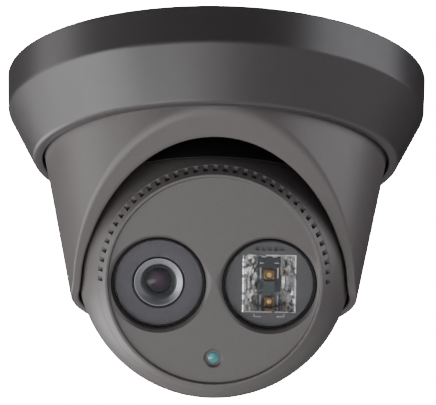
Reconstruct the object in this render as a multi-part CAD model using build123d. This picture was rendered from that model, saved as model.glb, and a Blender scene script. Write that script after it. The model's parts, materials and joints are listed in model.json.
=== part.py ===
from build123d import *

# Ceiling-mounted turret camera: a ball that holds the lens and an infrared lamp, carried in a tapered
# housing that turns under a round mounting base.
#
# Millimetres, +Z up, origin at the centre of the face that lies against the ceiling. The camera hangs
# below it and looks towards -Y. The ball has a frame of its own: origin at its centre, +Z along the
# optical axis, +X to the right seen from in front, +Y up.

import os
from math import cos, radians, sin, sqrt, tan

# ---------------------------------------------------------------- driving sizes

RUN = 0.1                 # clearance of a turning or sliding fit, on the radius
SEAT = 0.05               # clearance of a piece that is placed and stays
LOOSE = 0.4               # clearance of pieces that pass each other

# ball
BALL_R = 41.2
BALL_TOP_GAP = 16.3       # ceiling to the top of the ball
REST_TILT = 30.0          # degrees below the horizon that the optical axis points at rest
BALL_WALL = 2.3
BALL_GAP = 0.8            # all round the ball, to the housing
JOINT_WALL = 2.95         # wall where the two half shells meet
JOINT_DEPTH = 8.0         # how far from the joint that thicker wall goes, each way
BACK_SET = 13.2           # how far the flat back lies inside the ball's surface
BACK_WALL = 2.5

# gimbal ring, in the groove between the two half shells
GIMBAL_HALF_W = 2.8
GIMBAL_T = 1.3
TRUNNION_R = 2.2
TRUNNION_REACH = 2.1      # how far the pins stand into the housing wall
SADDLE_HALF_W = 2.1

# housing: a tapered shell cut open at the front
HOUSING_WALL = 3.25
HOUSING_TAPER = 0.205
HOUSING_BORE_TAPER = 0.09
HOUSING_SKIRT = 12.0      # how far it reaches below the ball's centre
OPENING_TILT = 45.0       # degrees between the front cut and the horizon
OPENING_SET = 21.5        # height of the front cut below the ball's centre, on the axis
OPENING_CORNER_R = 12.0
RIM_ROUND_OUT = 0.8
RIM_SLOPE_IN = 1.6
FLANGE_TOP = 19.8
FLANGE_T = 2.5
FLANGE_REACH = 2.5
SHELF_W = 4.2
SPIGOT_WALL = 2.0
SPIGOT_H = 7.3

# trunnion cap and light baffle inside the housing
CAP_T = 2.0
BAFFLE_T = 1.2
BAFFLE_LOW = 20.0         # height of its lower edge above the ball's centre
CAP_SCREW_ANGLES = (90.0, 330.0, 210.0)

# trim ring: an upright wall, a cone below it and a rounded foot
RING_CEILING_GAP = 0.3
RING_WALL_H = 11.25
RING_CONE_H = 25.45
RING_H = 26.9
RING_FOOT_W = 3.08
RING_FLARE = 7.5          # how much wider the top of the cone is than its foot
RING_DRAFT = 0.45
RING_WALL = 2.2
RING_FOOT_ROUND = 1.7
RING_TO_HOUSING = 0.8

# mounting base
PLATE_T = 3.0
CABLE_BORE_R = 12.5
CABLE_COLLAR_H = 6.0
CABLE_COLLAR_WALL = 2.5
CEILING_SCREW_PCD = 84.0
CEILING_SCREW_R = 2.4
SCREW_BOSS_R = 6.0
SCREW_BOSS_H = 5.0
SKIRT_WALL = 2.2
SKIRT_H = 12.5
RACE_WALL = 3.0
RIB_T = 2.0
RIB_H = 6.0
RIB_COUNT = 6
GASKET_W = 3.6
GASKET_T = 1.0
WASHER_T = 0.5

# bayonet between the base and the trim ring, and its lock screw
LUG_COUNT = 3
LUG_HALF_ANGLE = 9.0
LUG_T = 2.2
LUG_REACH = 1.5
LUG_GAP = 0.3
BASE_LUG_TOP = 7.0
LOCK_SCREW_R = 1.4
LOCK_SCREW_DROP = 4.2
HEX_SOCKET_R = 0.75

# screws
M2_R = 0.95
M3_R = 1.45
HOLE_GAP = 0.1
M2_HEAD_R = 1.6
M2_HEAD_H = 1.2
M3_HEAD_R = 2.7
M3_HEAD_H = 2.2
SOCKET_SHARE = 0.55       # depth and width of a driver recess, of the head's

# face cover
FACE_SET = 15.1           # how far the cover's rim lies inside the ball's surface, on the axis
COVER_H = 3.1
FACE_DROP = 0.9
FACE_R_GAP = 0.9          # width of the rim round the recessed face
FACE_T = 1.4
SEAM_GAP = 0.12
PLUG_WALL = 3.4
PLUG_H = 1.6
MOUTH_WALL = 1.45
LEDGE_T = 2.0
FACE_GASKET_T = 0.5
NOTCH_COUNT = 72          # as many as a full circle would have
NOTCH_SPAN = 180.0
NOTCH_W = 1.3
NOTCH_L = 2.0
NOTCH_DEPTH = 1.6
FACE_SCREW_ANGLES = (60.0, 120.0, 240.0, 300.0)

# windows in the face
WINDOW_X = 16.2
WINDOW_Y = -1.2           # both windows stand this far below the face's middle
WINDOW_HOLE_R = 13.66
WINDOW_EDGE_ROUND = 1.0
WINDOW_T = 1.1
WINDOW_DROP = 0.5
WINDOW_SEAL_W = 0.45
WINDOW_SEAL_T = 0.3
WINDOW_LEDGE_W = 0.85
BAY_WALL = 1.2

# lens
SURROUND_HOLE_R = 7.6
SURROUND_T = 1.4
BARREL_HEAD_R = 7.15
BARREL_R = 6.0
BARREL_HEAD_T = 2.6
BARREL_GRIP = 5.55        # length of the barrel inside the holder's collar
BARREL_MOUTH_R = 6.7
BARREL_THROAT_R = 4.5
BARREL_CONE_H = 2.2
BARREL_BORE_R = 3.6
FRONT_LENS_T = 2.4
FRONT_LENS_DOME = 1.0
REAR_LENS_T = 2.2

# lens holder, moving filter and image sensor
HOLDER_W = 16.0
HOLDER_WALL = 1.5
HOLDER_ROOF = 1.8
HOLDER_H = 7.4
COLLAR_WALL = 2.3
COLLAR_H = 6.4
FILTER_TRAVEL = 6.5
FILTER_W = 9.4
FILTER_L = 15.2
FILTER_T = 1.0
FILTER_PANE = 5.4
FILTER_PANE_T = 0.5
FILTER_UP = 4.1           # the filter's back, above the sensor board
RAIL_LEDGE = 0.8
BOARD_T = 1.6
SENSOR_BOARD_W = 20.0
SENSOR_BOARD_MARGIN = 1.0
SENSOR_W = 9.0
SENSOR_L = 7.4
SENSOR_T = 1.3
COIL_R = 2.4
COIL_L = 9.0
COIL_GAP = 0.35

# infrared lamp
LAMP_DEPTH = 5.5          # reflector's height above the lamp board
LAMP_BOARD_R = 12.5
LAMP_BOARD_T = 1.2
LED_COUNT = 2
LED_SIDE = 2.8
LED_T = 1.0
LED_END_GAP = 0.15        # from the lowest chip to the trough's end wall
DIE_SIDE = 1.1
DIE_T = 0.25
OPTIC_W = 15.8
OPTIC_MARGIN = 1.0        # mask left between the trough's corners and the window's ledge
OPTIC_WALL = 0.45
OPTIC_THROAT_W = 6.6      # the trough's floor, which both chips stand on
OPTIC_END_SLOPE = 0.15
MASK_T = 0.9
SINK_R = 11.0
SINK_L = 9.0
SINK_BASE = 2.0
SINK_SLOTS = 5
SINK_SLOT_W = 1.8

# light sensor under the two windows
LIGHT_Y = -23.4
LIGHT_HOLE_R = 2.3
LIGHT_EDGE_ROUND = 0.6
LIGHT_PIPE_R = 1.65
LIGHT_PIPE_DROP = 0.6
LIGHT_PIPE_L = 5.0
LIGHT_BOARD_SIDE = 7.0
LIGHT_CHIP_SIDE = 2.4
LIGHT_CHIP_T = 0.9

# chassis and boards behind the lens
CHASSIS_FRONT = -1.5
CHASSIS_T = 1.5
EAR_R = 3.4
EAR_NECK_L = 8.0
WIRE_SLOT_W = 14.0
WIRE_SLOT_L = 7.0
POST_R = 3.3
COLUMN_R = 4.2
POST_LIFT = 18.0
POST_WEB_L = 8.0
POST_WEB_T = 3.0
SHELL_SCREW_ANGLES = (90.0, 225.0, 315.0)
SHELL_SCREW_SEAT = 8.0
SHELL_SCREW_BITE = 8.0
MAIN_BOARD_BACK = -12.0
STANDOFF_R = 2.4
STANDOFF_XY = 17.0
CHIP_SIDE = 14.0
CHIP_T = 1.6
PAD_GAP = 0.1
SOCKET_W = 12.0
SOCKET_L = 6.0
SOCKET_T = 5.0
SOCKET_WALL = 1.0
SOCKET_Y = -14.0

# cable gland in the flat back
GLAND_R = 6.0
GLAND_BORE_R = 3.1
GLAND_FLANGE_R = 8.5
GLAND_FLANGE_T = 2.4
GLAND_SNOUT_L = 3.2
GLAND_CAP_R = 7.8
GLAND_CAP_L = 8.0
GLAND_NUT_T = 2.4

# ---------------------------------------------------------------- places worked out from them

FAR = 200.0               # longer than the whole camera, for cuts that go right through
BALL_DROP = BALL_R + BALL_TOP_GAP
TILT = radians(REST_TILT)
BALL = Plane(origin=(0, 0, -BALL_DROP), x_dir=(1, 0, 0), z_dir=(0, -cos(TILT), -sin(TILT))).location


def ball_radius_at(z, radius=BALL_R):
    """Radius of the ball's section at distance z from its centre."""
    return sqrt(radius * radius - z * z)


def housing_r(z):
    """Outer radius of the housing at height z."""
    return BALL_R + BALL_GAP + HOUSING_WALL + HOUSING_TAPER * (z + BALL_DROP)


def housing_bore_r(z):
    """Inner radius of the housing at height z, above the ball's centre."""
    return BALL_R + BALL_GAP + HOUSING_BORE_TAPER * (z + BALL_DROP)


FLANGE_LOW = FLANGE_TOP + FLANGE_T
FLANGE_R = housing_r(-FLANGE_LOW) + FLANGE_REACH
SPIGOT_BORE_R = housing_bore_r(-FLANGE_LOW) + SHELF_W
SPIGOT_R = SPIGOT_BORE_R + SPIGOT_WALL
CAP_SCREW_CIRCLE_R = SPIGOT_BORE_R - SHELF_W / 2
RACE_BORE_R = SPIGOT_R + RUN
RACE_R = RACE_BORE_R + RACE_WALL
RACE_LOW = FLANGE_TOP - WASHER_T - SEAT
RING_SHELF = FLANGE_LOW + 2 * RUN
RING_CONE_LOW_R = housing_r(-RING_CONE_H) + RING_TO_HOUSING + RING_FOOT_W
RING_WALL_LOW_R = RING_CONE_LOW_R + RING_FLARE
RING_R = RING_WALL_LOW_R + RING_DRAFT
RING_BORE_R = RING_WALL_LOW_R - RING_WALL
SKIRT_R = RING_BORE_R - LUG_REACH - LUG_GAP
LUG_ANGLES = [30.0 + 360.0 * i / LUG_COUNT for i in range(LUG_COUNT)]

JOINT_Z = GIMBAL_HALF_W + RUN
GROOVE_R = BALL_R - GIMBAL_T - RUN
JOINT_BORE_R = GROOVE_R - JOINT_WALL
SHELL_SEAL_W = 1.2
SHELL_SEAL_H = 1.1
BACK_CUT = BALL_R - BACK_SET
BALL_BORE_R = BALL_R - BALL_WALL

FACE_RIM = BALL_R - FACE_SET
FACE_SEAM = FACE_RIM - COVER_H
FACE_PLANE = FACE_RIM - FACE_DROP
FACE_R = ball_radius_at(FACE_RIM) - FACE_R_GAP
PLUG_R = ball_radius_at(FACE_SEAM) - MOUTH_WALL - SEAT
PLUG_BACK = FACE_SEAM - PLUG_H
LEDGE_FRONT = PLUG_BACK - FACE_GASKET_T - SEAT
FACE_SCREW_CIRCLE_R = PLUG_R - PLUG_WALL / 2

WINDOW_FRONT = FACE_PLANE - WINDOW_DROP
WINDOW_BACK = WINDOW_FRONT - WINDOW_T
WINDOW_SEAT = WINDOW_BACK - WINDOW_SEAL_T - SEAT
WINDOW_R = WINDOW_HOLE_R - WINDOW_SEAL_W - 2 * SEAT
WINDOW_LEDGE_R = WINDOW_HOLE_R - WINDOW_LEDGE_W
BARREL_FRONT = WINDOW_SEAT - 0.5
OPTIC_FRONT = WINDOW_SEAT - 0.2
OPTIC_L = 2 * sqrt((WINDOW_LEDGE_R - SEAT - OPTIC_MARGIN) ** 2 - (OPTIC_W / 2) ** 2)
OPTIC_THROAT_L = OPTIC_L - 2 * OPTIC_WALL - 2 * OPTIC_END_SLOPE
LAMP_BOARD_FRONT = OPTIC_FRONT - LAMP_DEPTH
LIGHT_PIPE_FRONT = FACE_PLANE - LIGHT_PIPE_DROP
LIGHT_PIPE_BACK = LIGHT_PIPE_FRONT - LIGHT_PIPE_L

CHASSIS_BACK = CHASSIS_FRONT - CHASSIS_T
SENSOR_BOARD_BACK = CHASSIS_FRONT + SEAT
SENSOR_BOARD_FRONT = SENSOR_BOARD_BACK + BOARD_T
HOLDER_BACK = SENSOR_BOARD_FRONT + SEAT
HOLDER_FRONT = HOLDER_BACK + HOLDER_H
COLLAR_R = BARREL_R + RUN + COLLAR_WALL
COIL_Y = COLLAR_R + COIL_GAP + COIL_R
HOLDER_L = 2 * (COIL_Y + COIL_R)
SENSOR_BOARD_L = HOLDER_L + 2 * SENSOR_BOARD_MARGIN
BARREL_BACK = HOLDER_FRONT + COLLAR_H - BARREL_GRIP
POST_CIRCLE_R = JOINT_BORE_R - POST_R - 0.6
CHASSIS_R = POST_CIRCLE_R - COLUMN_R - 0.4
MAIN_BOARD_R = CHASSIS_R - 0.3
MAIN_BOARD_FRONT = MAIN_BOARD_BACK + BOARD_T


# ---------------------------------------------------------------- shared shapes

def lathe(*corners):
    """Turned solid about Z, from an outline of (radius, height) corners."""
    return revolve(Plane.XZ * make_face(Polyline(*corners, close=True)), Axis.Z)


def disc(radius, low, high, x=0.0, y=0.0):
    """Cylinder along Z between two heights."""
    centre = (Align.CENTER, Align.CENTER, Align.MIN)
    return Pos(x, y, low) * Cylinder(radius, high - low, align=centre)


def tube(radius, bore, low, high, x=0.0, y=0.0):
    """Cylinder with a round bore along Z."""
    return disc(radius, low, high, x, y) - disc(bore, low, high, x, y)


def block(width, length, low, high, x=0.0, y=0.0):
    """Box centred on (x, y) between two heights."""
    centre = (Align.CENTER, Align.CENTER, Align.MIN)
    return Pos(x, y, low) * Box(width, length, high - low, align=centre)


def around(angles, radius):
    """The (x, y) places on a circle at these angles, in degrees."""
    return [(radius * cos(radians(a)), radius * sin(radians(a))) for a in angles]


def turns(count, first=0.0):
    """Evenly spaced angles round a full circle."""
    return [first + 360.0 * i / count for i in range(count)]


def sector(radius, bore, low, high, angle, half_angle):
    """Piece of a tube between two angles."""
    (x1, y1), (x2, y2) = around((angle - half_angle, angle + half_angle), 2 * radius)
    wedge = make_face(Polyline((0, 0), (x1, y1), (x2, y2), close=True))
    return tube(radius, bore, low, high) & Pos(0, 0, low) * extrude(wedge, high - low)


def ball_slab(radius, low, high):
    """The slice of a ball between two distances from its centre."""
    return Sphere(radius) & disc(2 * radius, low, high)


def screw(shank_r, length, head_r, head_h):
    """Screw standing on Z: shank below the origin, head above it with a hexagonal recess."""
    body = disc(shank_r, -length, 0) + disc(head_r, 0, head_h)
    body = chamfer(body.edges().sort_by(Axis.Z)[-1], head_h / 5)
    depth = head_h * SOCKET_SHARE
    return body - Pos(0, 0, head_h - depth) * extrude(RegularPolygon(head_r * SOCKET_SHARE, 6), depth)


# ---------------------------------------------------------------- mounting base

CEILING_SCREWS = around(turns(3, 90.0), CEILING_SCREW_PCD / 2)


def mounting_base():
    body = disc(SKIRT_R, -PLATE_T, 0)
    body += tube(SKIRT_R, SKIRT_R - SKIRT_WALL, -SKIRT_H, -PLATE_T)
    body += tube(RACE_R, RACE_BORE_R, -RACE_LOW, -PLATE_T)
    body += disc(CABLE_BORE_R + CABLE_COLLAR_WALL, -CABLE_COLLAR_H, -PLATE_T)
    for x, y in CEILING_SCREWS:
        body += disc(SCREW_BOSS_R, -SCREW_BOSS_H, -PLATE_T, x, y)
    skirt_bore_r = SKIRT_R - SKIRT_WALL
    for angle in turns(RIB_COUNT):
        rib = block(RACE_BORE_R - CABLE_BORE_R, RIB_T, -RIB_H, -PLATE_T, (RACE_BORE_R + CABLE_BORE_R) / 2)
        web = block(skirt_bore_r - RACE_R + 1.0, RIB_T, 1.0 - SKIRT_H, -PLATE_T, (skirt_bore_r + RACE_R) / 2)
        body += Rot(0, 0, angle) * (rib + web)
    for angle in LUG_ANGLES:
        top = -BASE_LUG_TOP
        body += sector(SKIRT_R + LUG_REACH, SKIRT_R - 0.5, top - LUG_T, top, angle, LUG_HALF_ANGLE)
    body -= disc(CABLE_BORE_R, -CABLE_COLLAR_H, 0)
    for x, y in CEILING_SCREWS:
        body -= disc(CEILING_SCREW_R, -SCREW_BOSS_H, 0, x, y)
    return body - base_gasket()


def base_gasket():
    outer = SKIRT_R - 1.0
    return tube(outer, outer - GASKET_W, -GASKET_T, 0)


def pan_washer():
    return tube(RACE_R, RACE_BORE_R + SEAT, -RACE_LOW - WASHER_T, -RACE_LOW)


# ---------------------------------------------------------------- trim ring

def at_ring_back(shape):
    """Lays a shape on +Z along the lock screw's line, outwards at the back of the ring."""
    return Pos(0, 0, -LOCK_SCREW_DROP) * Rot(-90, 0, 0) * shape


def trim_ring():
    slope = RING_FLARE / (RING_CONE_H - RING_WALL_H)
    body = lathe(
        (RING_R, -RING_CEILING_GAP),
        (RING_WALL_LOW_R, -RING_WALL_H),
        (RING_CONE_LOW_R - slope * (RING_H - RING_CONE_H), -RING_H),
        (housing_r(-RING_H) + RING_TO_HOUSING, -RING_H),
        (housing_r(-RING_SHELF) + RING_TO_HOUSING, -RING_SHELF),
        (FLANGE_R + LOOSE, -RING_SHELF),
        (FLANGE_R + LOOSE, LUG_GAP - FLANGE_TOP),
        (RING_BORE_R, -RING_WALL_H),
        (RING_BORE_R, -RING_CEILING_GAP),
    )
    foot_edges = body.edges().filter_by(GeomType.CIRCLE).group_by(Axis.Z)[0]
    body = fillet(foot_edges.sort_by(lambda edge: edge.radius)[-1], RING_FOOT_ROUND)
    top = BASE_LUG_TOP + LUG_T + LUG_GAP
    for angle in LUG_ANGLES:
        bore = RING_BORE_R - LUG_REACH + LUG_GAP / 3
        body += sector(RING_BORE_R + 0.5, bore, -RING_WALL_H, -top, angle, LUG_HALF_ANGLE)
    hole = disc(LOCK_SCREW_R + SEAT, RING_BORE_R - 2.0, RING_R + 2.0)
    return body - at_ring_back(hole)


def lock_screw():
    head = RING_WALL_LOW_R - 0.3
    body = disc(LOCK_SCREW_R, SKIRT_R + RUN, head)
    socket = extrude(RegularPolygon(HEX_SOCKET_R, 6), RING_WALL)
    return at_ring_back(body - Pos(0, 0, head - RING_WALL) * socket)


# ---------------------------------------------------------------- housing, trunnion cap

def below_opening():
    """Everything in front of and below the housing's rim: a 45-degree cut that rounds into a level one."""
    low = -BALL_DROP - HOUSING_SKIRT
    slope = tan(radians(OPENING_TILT))
    corner_y = -(OPENING_SET - HOUSING_SKIRT) / slope
    outline = make_face(
        Polyline(
            (corner_y - FAR, low + FAR * slope),
            (corner_y, low),
            (FAR, low),
            (FAR, low - FAR),
            (corner_y - FAR, low - FAR),
            close=True,
        )
    )
    corner = outline.vertices().sort_by_distance((corner_y, low, 0))[0]
    return extrude(Plane.YZ * fillet(corner, OPENING_CORNER_R), FAR, both=True)


def trunnion_slots(radius, reach):
    """Slots in the housing's bore, open at the top and round at the bottom, for the two trunnions."""
    top = BALL_DROP - FLANGE_LOW + 1.0
    slot = block(2 * reach, 2 * radius, 0, top) + Rot(0, 90, 0) * Cylinder(radius, 2 * reach)
    return Pos(0, 0, -BALL_DROP) * slot


TRUNNION_END = BALL_R + BALL_GAP + TRUNNION_REACH


def rim_edges(body, nearest, farthest):
    """Edges of the opening whose middles stand this far outside the housing's bore."""
    found = []
    for edge in body.edges():
        middle = edge.position_at(0.5)
        outside = sqrt(middle.X**2 + middle.Y**2) - housing_bore_r(middle.Z)
        if middle.Z < -FLANGE_LOW - 1.0 and nearest < outside < farthest:
            found.append(edge)
    return found


def housing():
    deep = BALL_DROP + HOUSING_SKIRT + 6.0
    body = lathe(
        (0, -deep),
        (housing_r(-deep), -deep),
        (housing_r(-FLANGE_LOW), -FLANGE_LOW),
        (FLANGE_R, -FLANGE_LOW),
        (FLANGE_R, -FLANGE_TOP),
        (SPIGOT_R, -FLANGE_TOP),
        (SPIGOT_R, SPIGOT_H - FLANGE_TOP),
        (SPIGOT_BORE_R, SPIGOT_H - FLANGE_TOP),
        (SPIGOT_BORE_R, -FLANGE_LOW),
        (0, -FLANGE_LOW),
    )
    body -= lathe(
        (0, -BALL_DROP),
        (housing_bore_r(-BALL_DROP), -BALL_DROP),
        (housing_bore_r(-FLANGE_LOW), -FLANGE_LOW),
        (0, -FLANGE_LOW),
    )
    body -= Pos(0, 0, -BALL_DROP) * Sphere(BALL_R + BALL_GAP)
    body -= below_opening()
    body = fillet(rim_edges(body, 1.5, FAR), RIM_ROUND_OUT)
    body = chamfer(rim_edges(body, -FAR, 0.2), RIM_SLOPE_IN)
    body -= trunnion_slots(TRUNNION_R + RUN, TRUNNION_END + RUN)
    for x, y in around(CAP_SCREW_ANGLES, CAP_SCREW_CIRCLE_R):
        body -= disc(M2_R + HOLE_GAP, -FLANGE_LOW - 6.0, -FLANGE_LOW, x, y)
    return body


def trunnion_cap():
    low = -FLANGE_LOW + SEAT
    hole_r = ball_radius_at(BALL_DROP + low, BALL_R + BALL_GAP) + 0.5
    body = tube(SPIGOT_BORE_R - SEAT, hole_r, low, low + CAP_T)
    saddle_x = TRUNNION_END - (BALL_R + BALL_GAP)
    for side in (-1, 1):
        leg = block(saddle_x, 2 * SADDLE_HALF_W, -BALL_DROP, low + CAP_T, side * (TRUNNION_END - saddle_x / 2))
        body += leg
    body -= Pos(0, 0, -BALL_DROP) * Rot(0, 90, 0) * Cylinder(TRUNNION_R + RUN, FAR)
    shell = Sphere(BALL_R + BALL_GAP + BAFFLE_T) - Sphere(BALL_R + BALL_GAP)
    body += Pos(0, 0, -BALL_DROP) * (shell & disc(FAR, BAFFLE_LOW, BALL_DROP + low + CAP_T))
    for x, y in around(CAP_SCREW_ANGLES, CAP_SCREW_CIRCLE_R):
        body -= disc(M2_R + HOLE_GAP, low, low + CAP_T, x, y)
    return body


# ---------------------------------------------------------------- ball: shells, gimbal ring, face cover

def gimbal_ring():
    ring = Sphere(BALL_R) & tube(FAR, GROOVE_R + RUN, -GIMBAL_HALF_W, GIMBAL_HALF_W)
    reach = TRUNNION_END - GROOVE_R - 0.7
    for side in (-1, 1):
        ring += Pos(side * (TRUNNION_END - reach / 2), 0, 0) * Rot(0, 90, 0) * Cylinder(TRUNNION_R, reach)
    return ring


def seal_groove(gap):
    """Square channel for the shell seal in the rear shell's end face."""
    middle = (GROOVE_R + JOINT_BORE_R) / 2
    outer, inner = middle + SHELL_SEAL_W / 2, middle - SHELL_SEAL_W / 2
    return tube(outer + gap, inner - gap, JOINT_Z - SHELL_SEAL_H - gap, JOINT_Z)


def shell_seal():
    return seal_groove(0.0)


def rear_shell():
    body = ball_slab(BALL_R, -BACK_CUT, -JOINT_Z) - ball_slab(BALL_BORE_R, BACK_WALL - BACK_CUT, -JOINT_DEPTH)
    body += disc(GROOVE_R, -JOINT_Z, JOINT_Z)
    inside = Sphere(BALL_R - 0.5) & disc(FAR, -BACK_CUT, CHASSIS_BACK - SEAT)
    body -= disc(JOINT_BORE_R, -JOINT_DEPTH, JOINT_Z)
    for x, y in around(SHELL_SCREW_ANGLES, POST_CIRCLE_R):
        body += disc(COLUMN_R, -BACK_CUT, CHASSIS_BACK - SEAT, x, y) & inside
    for x, y in around(SHELL_SCREW_ANGLES, POST_CIRCLE_R):
        body -= disc(M3_R + HOLE_GAP, -BACK_CUT, CHASSIS_BACK, x, y)
        body -= disc(M3_HEAD_R + HOLE_GAP, -FAR, -SHELL_SCREW_SEAT, x, y)
    body -= disc(GLAND_R + SEAT, -BACK_CUT, BACK_WALL - BACK_CUT)
    return body - seal_groove(SEAT)


def front_shell():
    body = ball_slab(BALL_R, JOINT_Z + SEAT, FACE_SEAM) - ball_slab(BALL_BORE_R, JOINT_DEPTH, LEDGE_FRONT - LEDGE_T)
    body -= disc(JOINT_BORE_R, JOINT_Z, JOINT_DEPTH)
    body -= disc(PLUG_R - PLUG_WALL - 0.4, JOINT_DEPTH, FACE_SEAM)
    body -= disc(PLUG_R + SEAT, LEDGE_FRONT, FACE_SEAM)
    low = CHASSIS_FRONT + SEAT
    for angle in SHELL_SCREW_ANGLES:
        (x, y), = around((angle,), POST_CIRCLE_R)
        post = disc(POST_R, low, POST_LIFT, x, y)
        web_x = POST_CIRCLE_R + POST_WEB_L / 2
        web = Rot(0, 0, angle) * block(POST_WEB_L, POST_WEB_T, JOINT_Z + 1.0, POST_LIFT, web_x)
        body += (post + web) & Sphere(BALL_R - 0.5)
        body -= disc(M3_R + HOLE_GAP, low, CHASSIS_FRONT + SHELL_SCREW_BITE + 1.0, x, y)
    for x, y in around(FACE_SCREW_ANGLES, FACE_SCREW_CIRCLE_R):
        body -= disc(M2_R + HOLE_GAP, LEDGE_FRONT - LEDGE_T, LEDGE_FRONT, x, y)
    return body


def face_gasket():
    ring = tube(PLUG_R, PLUG_R - PLUG_WALL, LEDGE_FRONT, LEDGE_FRONT + FACE_GASKET_T)
    for x, y in around(FACE_SCREW_ANGLES, FACE_SCREW_CIRCLE_R):
        ring -= disc(M2_R + HOLE_GAP, LEDGE_FRONT, PLUG_BACK, x, y)
    return ring


def window_bay(x):
    """Blind bay behind the face that carries one window, without its hole."""
    return disc(WINDOW_HOLE_R + BAY_WALL, PLUG_BACK, FACE_PLANE - 0.1, x, WINDOW_Y)


def window_hole(x):
    """Stepped hole for one window, with its seal and its ledge."""
    hole = disc(WINDOW_HOLE_R, WINDOW_SEAT, FAR) + disc(WINDOW_LEDGE_R, PLUG_BACK, WINDOW_SEAT)
    lip = WINDOW_HOLE_R + WINDOW_EDGE_ROUND
    cone = Cone(WINDOW_HOLE_R, lip, WINDOW_EDGE_ROUND, align=(Align.CENTER, Align.CENTER, Align.MAX))
    return Pos(x, WINDOW_Y, 0) * (hole + Pos(0, 0, FACE_PLANE) * cone)


def face_cover():
    body = ball_slab(BALL_R, FACE_SEAM + SEAM_GAP, FACE_RIM)
    body -= disc(PLUG_R - PLUG_WALL, FACE_SEAM, FACE_PLANE - FACE_T)
    body += tube(PLUG_R, PLUG_R - PLUG_WALL, PLUG_BACK, FACE_SEAM + 1.0)
    body -= Pos(0, 0, FACE_PLANE) * Cone(
        FACE_R - 0.3, FACE_R + 0.3, FACE_DROP, align=(Align.CENTER, Align.CENTER, Align.MIN)
    )
    for x in (-WINDOW_X, WINDOW_X):
        body += window_bay(x)
    body += disc(LIGHT_HOLE_R + BAY_WALL, PLUG_BACK, FACE_PLANE - 0.1, 0, LIGHT_Y)
    for x in (-WINDOW_X, WINDOW_X):
        body -= window_hole(x)
    body -= disc(LIGHT_PIPE_R + SEAT, PLUG_BACK, FACE_PLANE, 0, LIGHT_Y)
    body -= disc(LIGHT_HOLE_R, LIGHT_PIPE_FRONT - 0.3, FACE_PLANE, 0, LIGHT_Y)
    mouth_r = LIGHT_HOLE_R + LIGHT_EDGE_ROUND
    mouth = Cone(LIGHT_HOLE_R, mouth_r, LIGHT_EDGE_ROUND, align=(Align.CENTER, Align.CENTER, Align.MAX))
    body -= Pos(0, LIGHT_Y, FACE_PLANE) * mouth
    seam_r = ball_radius_at(FACE_SEAM)
    notch = block(2 * NOTCH_DEPTH, NOTCH_W, FACE_SEAM, FACE_SEAM + SEAM_GAP + NOTCH_L, seam_r)
    pitch = 360.0 / NOTCH_COUNT
    for i in range(round(NOTCH_SPAN / pitch) + 1):
        body -= Rot(0, 0, i * pitch) * notch
    for x, y in around(FACE_SCREW_ANGLES, FACE_SCREW_CIRCLE_R):
        body -= disc(M2_R, PLUG_BACK, FACE_SEAM + 0.8, x, y)
    return body


# ---------------------------------------------------------------- windows and their seals

def window_pane(x):
    pane = disc(WINDOW_R, WINDOW_BACK, WINDOW_FRONT, x)
    return chamfer(pane.edges().sort_by(Axis.Z)[-1], 0.2)


def window_seal(x):
    side = tube(WINDOW_HOLE_R - SEAT, WINDOW_R + SEAT, WINDOW_SEAT, WINDOW_FRONT - 0.15, x)
    return side + tube(WINDOW_R + 2 * SEAT, WINDOW_LEDGE_R, WINDOW_SEAT, WINDOW_SEAT + WINDOW_SEAL_T, x)


# ---------------------------------------------------------------- lens, holder, filter, sensor

def lens_surround():
    front = WINDOW_SEAT - 0.1
    ring = tube(WINDOW_LEDGE_R - SEAT, SURROUND_HOLE_R, front - SURROUND_T, front, -WINDOW_X)
    inner_edge = ring.edges().filter_by(GeomType.CIRCLE).group_by(Axis.Z)[-1].sort_by(lambda e: e.radius)[0]
    return chamfer(inner_edge, 0.4)


def lens_barrel():
    x = -WINDOW_X
    throat = BARREL_FRONT - BARREL_CONE_H
    body = disc(BARREL_HEAD_R, BARREL_FRONT - BARREL_HEAD_T, BARREL_FRONT, x)
    body += disc(BARREL_R, BARREL_BACK, BARREL_FRONT - BARREL_HEAD_T, x)
    body -= disc(BARREL_BORE_R, BARREL_BACK, BARREL_FRONT, x)
    body -= disc(BARREL_THROAT_R, throat - FRONT_LENS_T, throat, x)
    cone = Cone(BARREL_THROAT_R, BARREL_MOUTH_R, BARREL_CONE_H, align=(Align.CENTER, Align.CENTER, Align.MIN))
    return body - Pos(x, 0, throat) * cone


def front_lens():
    back = BARREL_FRONT - BARREL_CONE_H - FRONT_LENS_T + SEAT
    radius = BARREL_THROAT_R - SEAT
    dome_r = (radius * radius + FRONT_LENS_DOME**2) / (2 * FRONT_LENS_DOME)
    edge = back + FRONT_LENS_T - 0.3
    dome = Pos(0, 0, edge + FRONT_LENS_DOME - dome_r) * Sphere(dome_r)
    return Pos(-WINDOW_X, 0, 0) * (disc(radius, back, edge) + (dome & disc(radius, edge - 0.1, edge + 2.0)))


def rear_lens():
    low = BARREL_BACK + 1.0
    return disc(BARREL_BORE_R - SEAT, low, low + REAR_LENS_T, -WINDOW_X)


FILTER_BACK = HOLDER_BACK + FILTER_UP - SEAT


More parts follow.
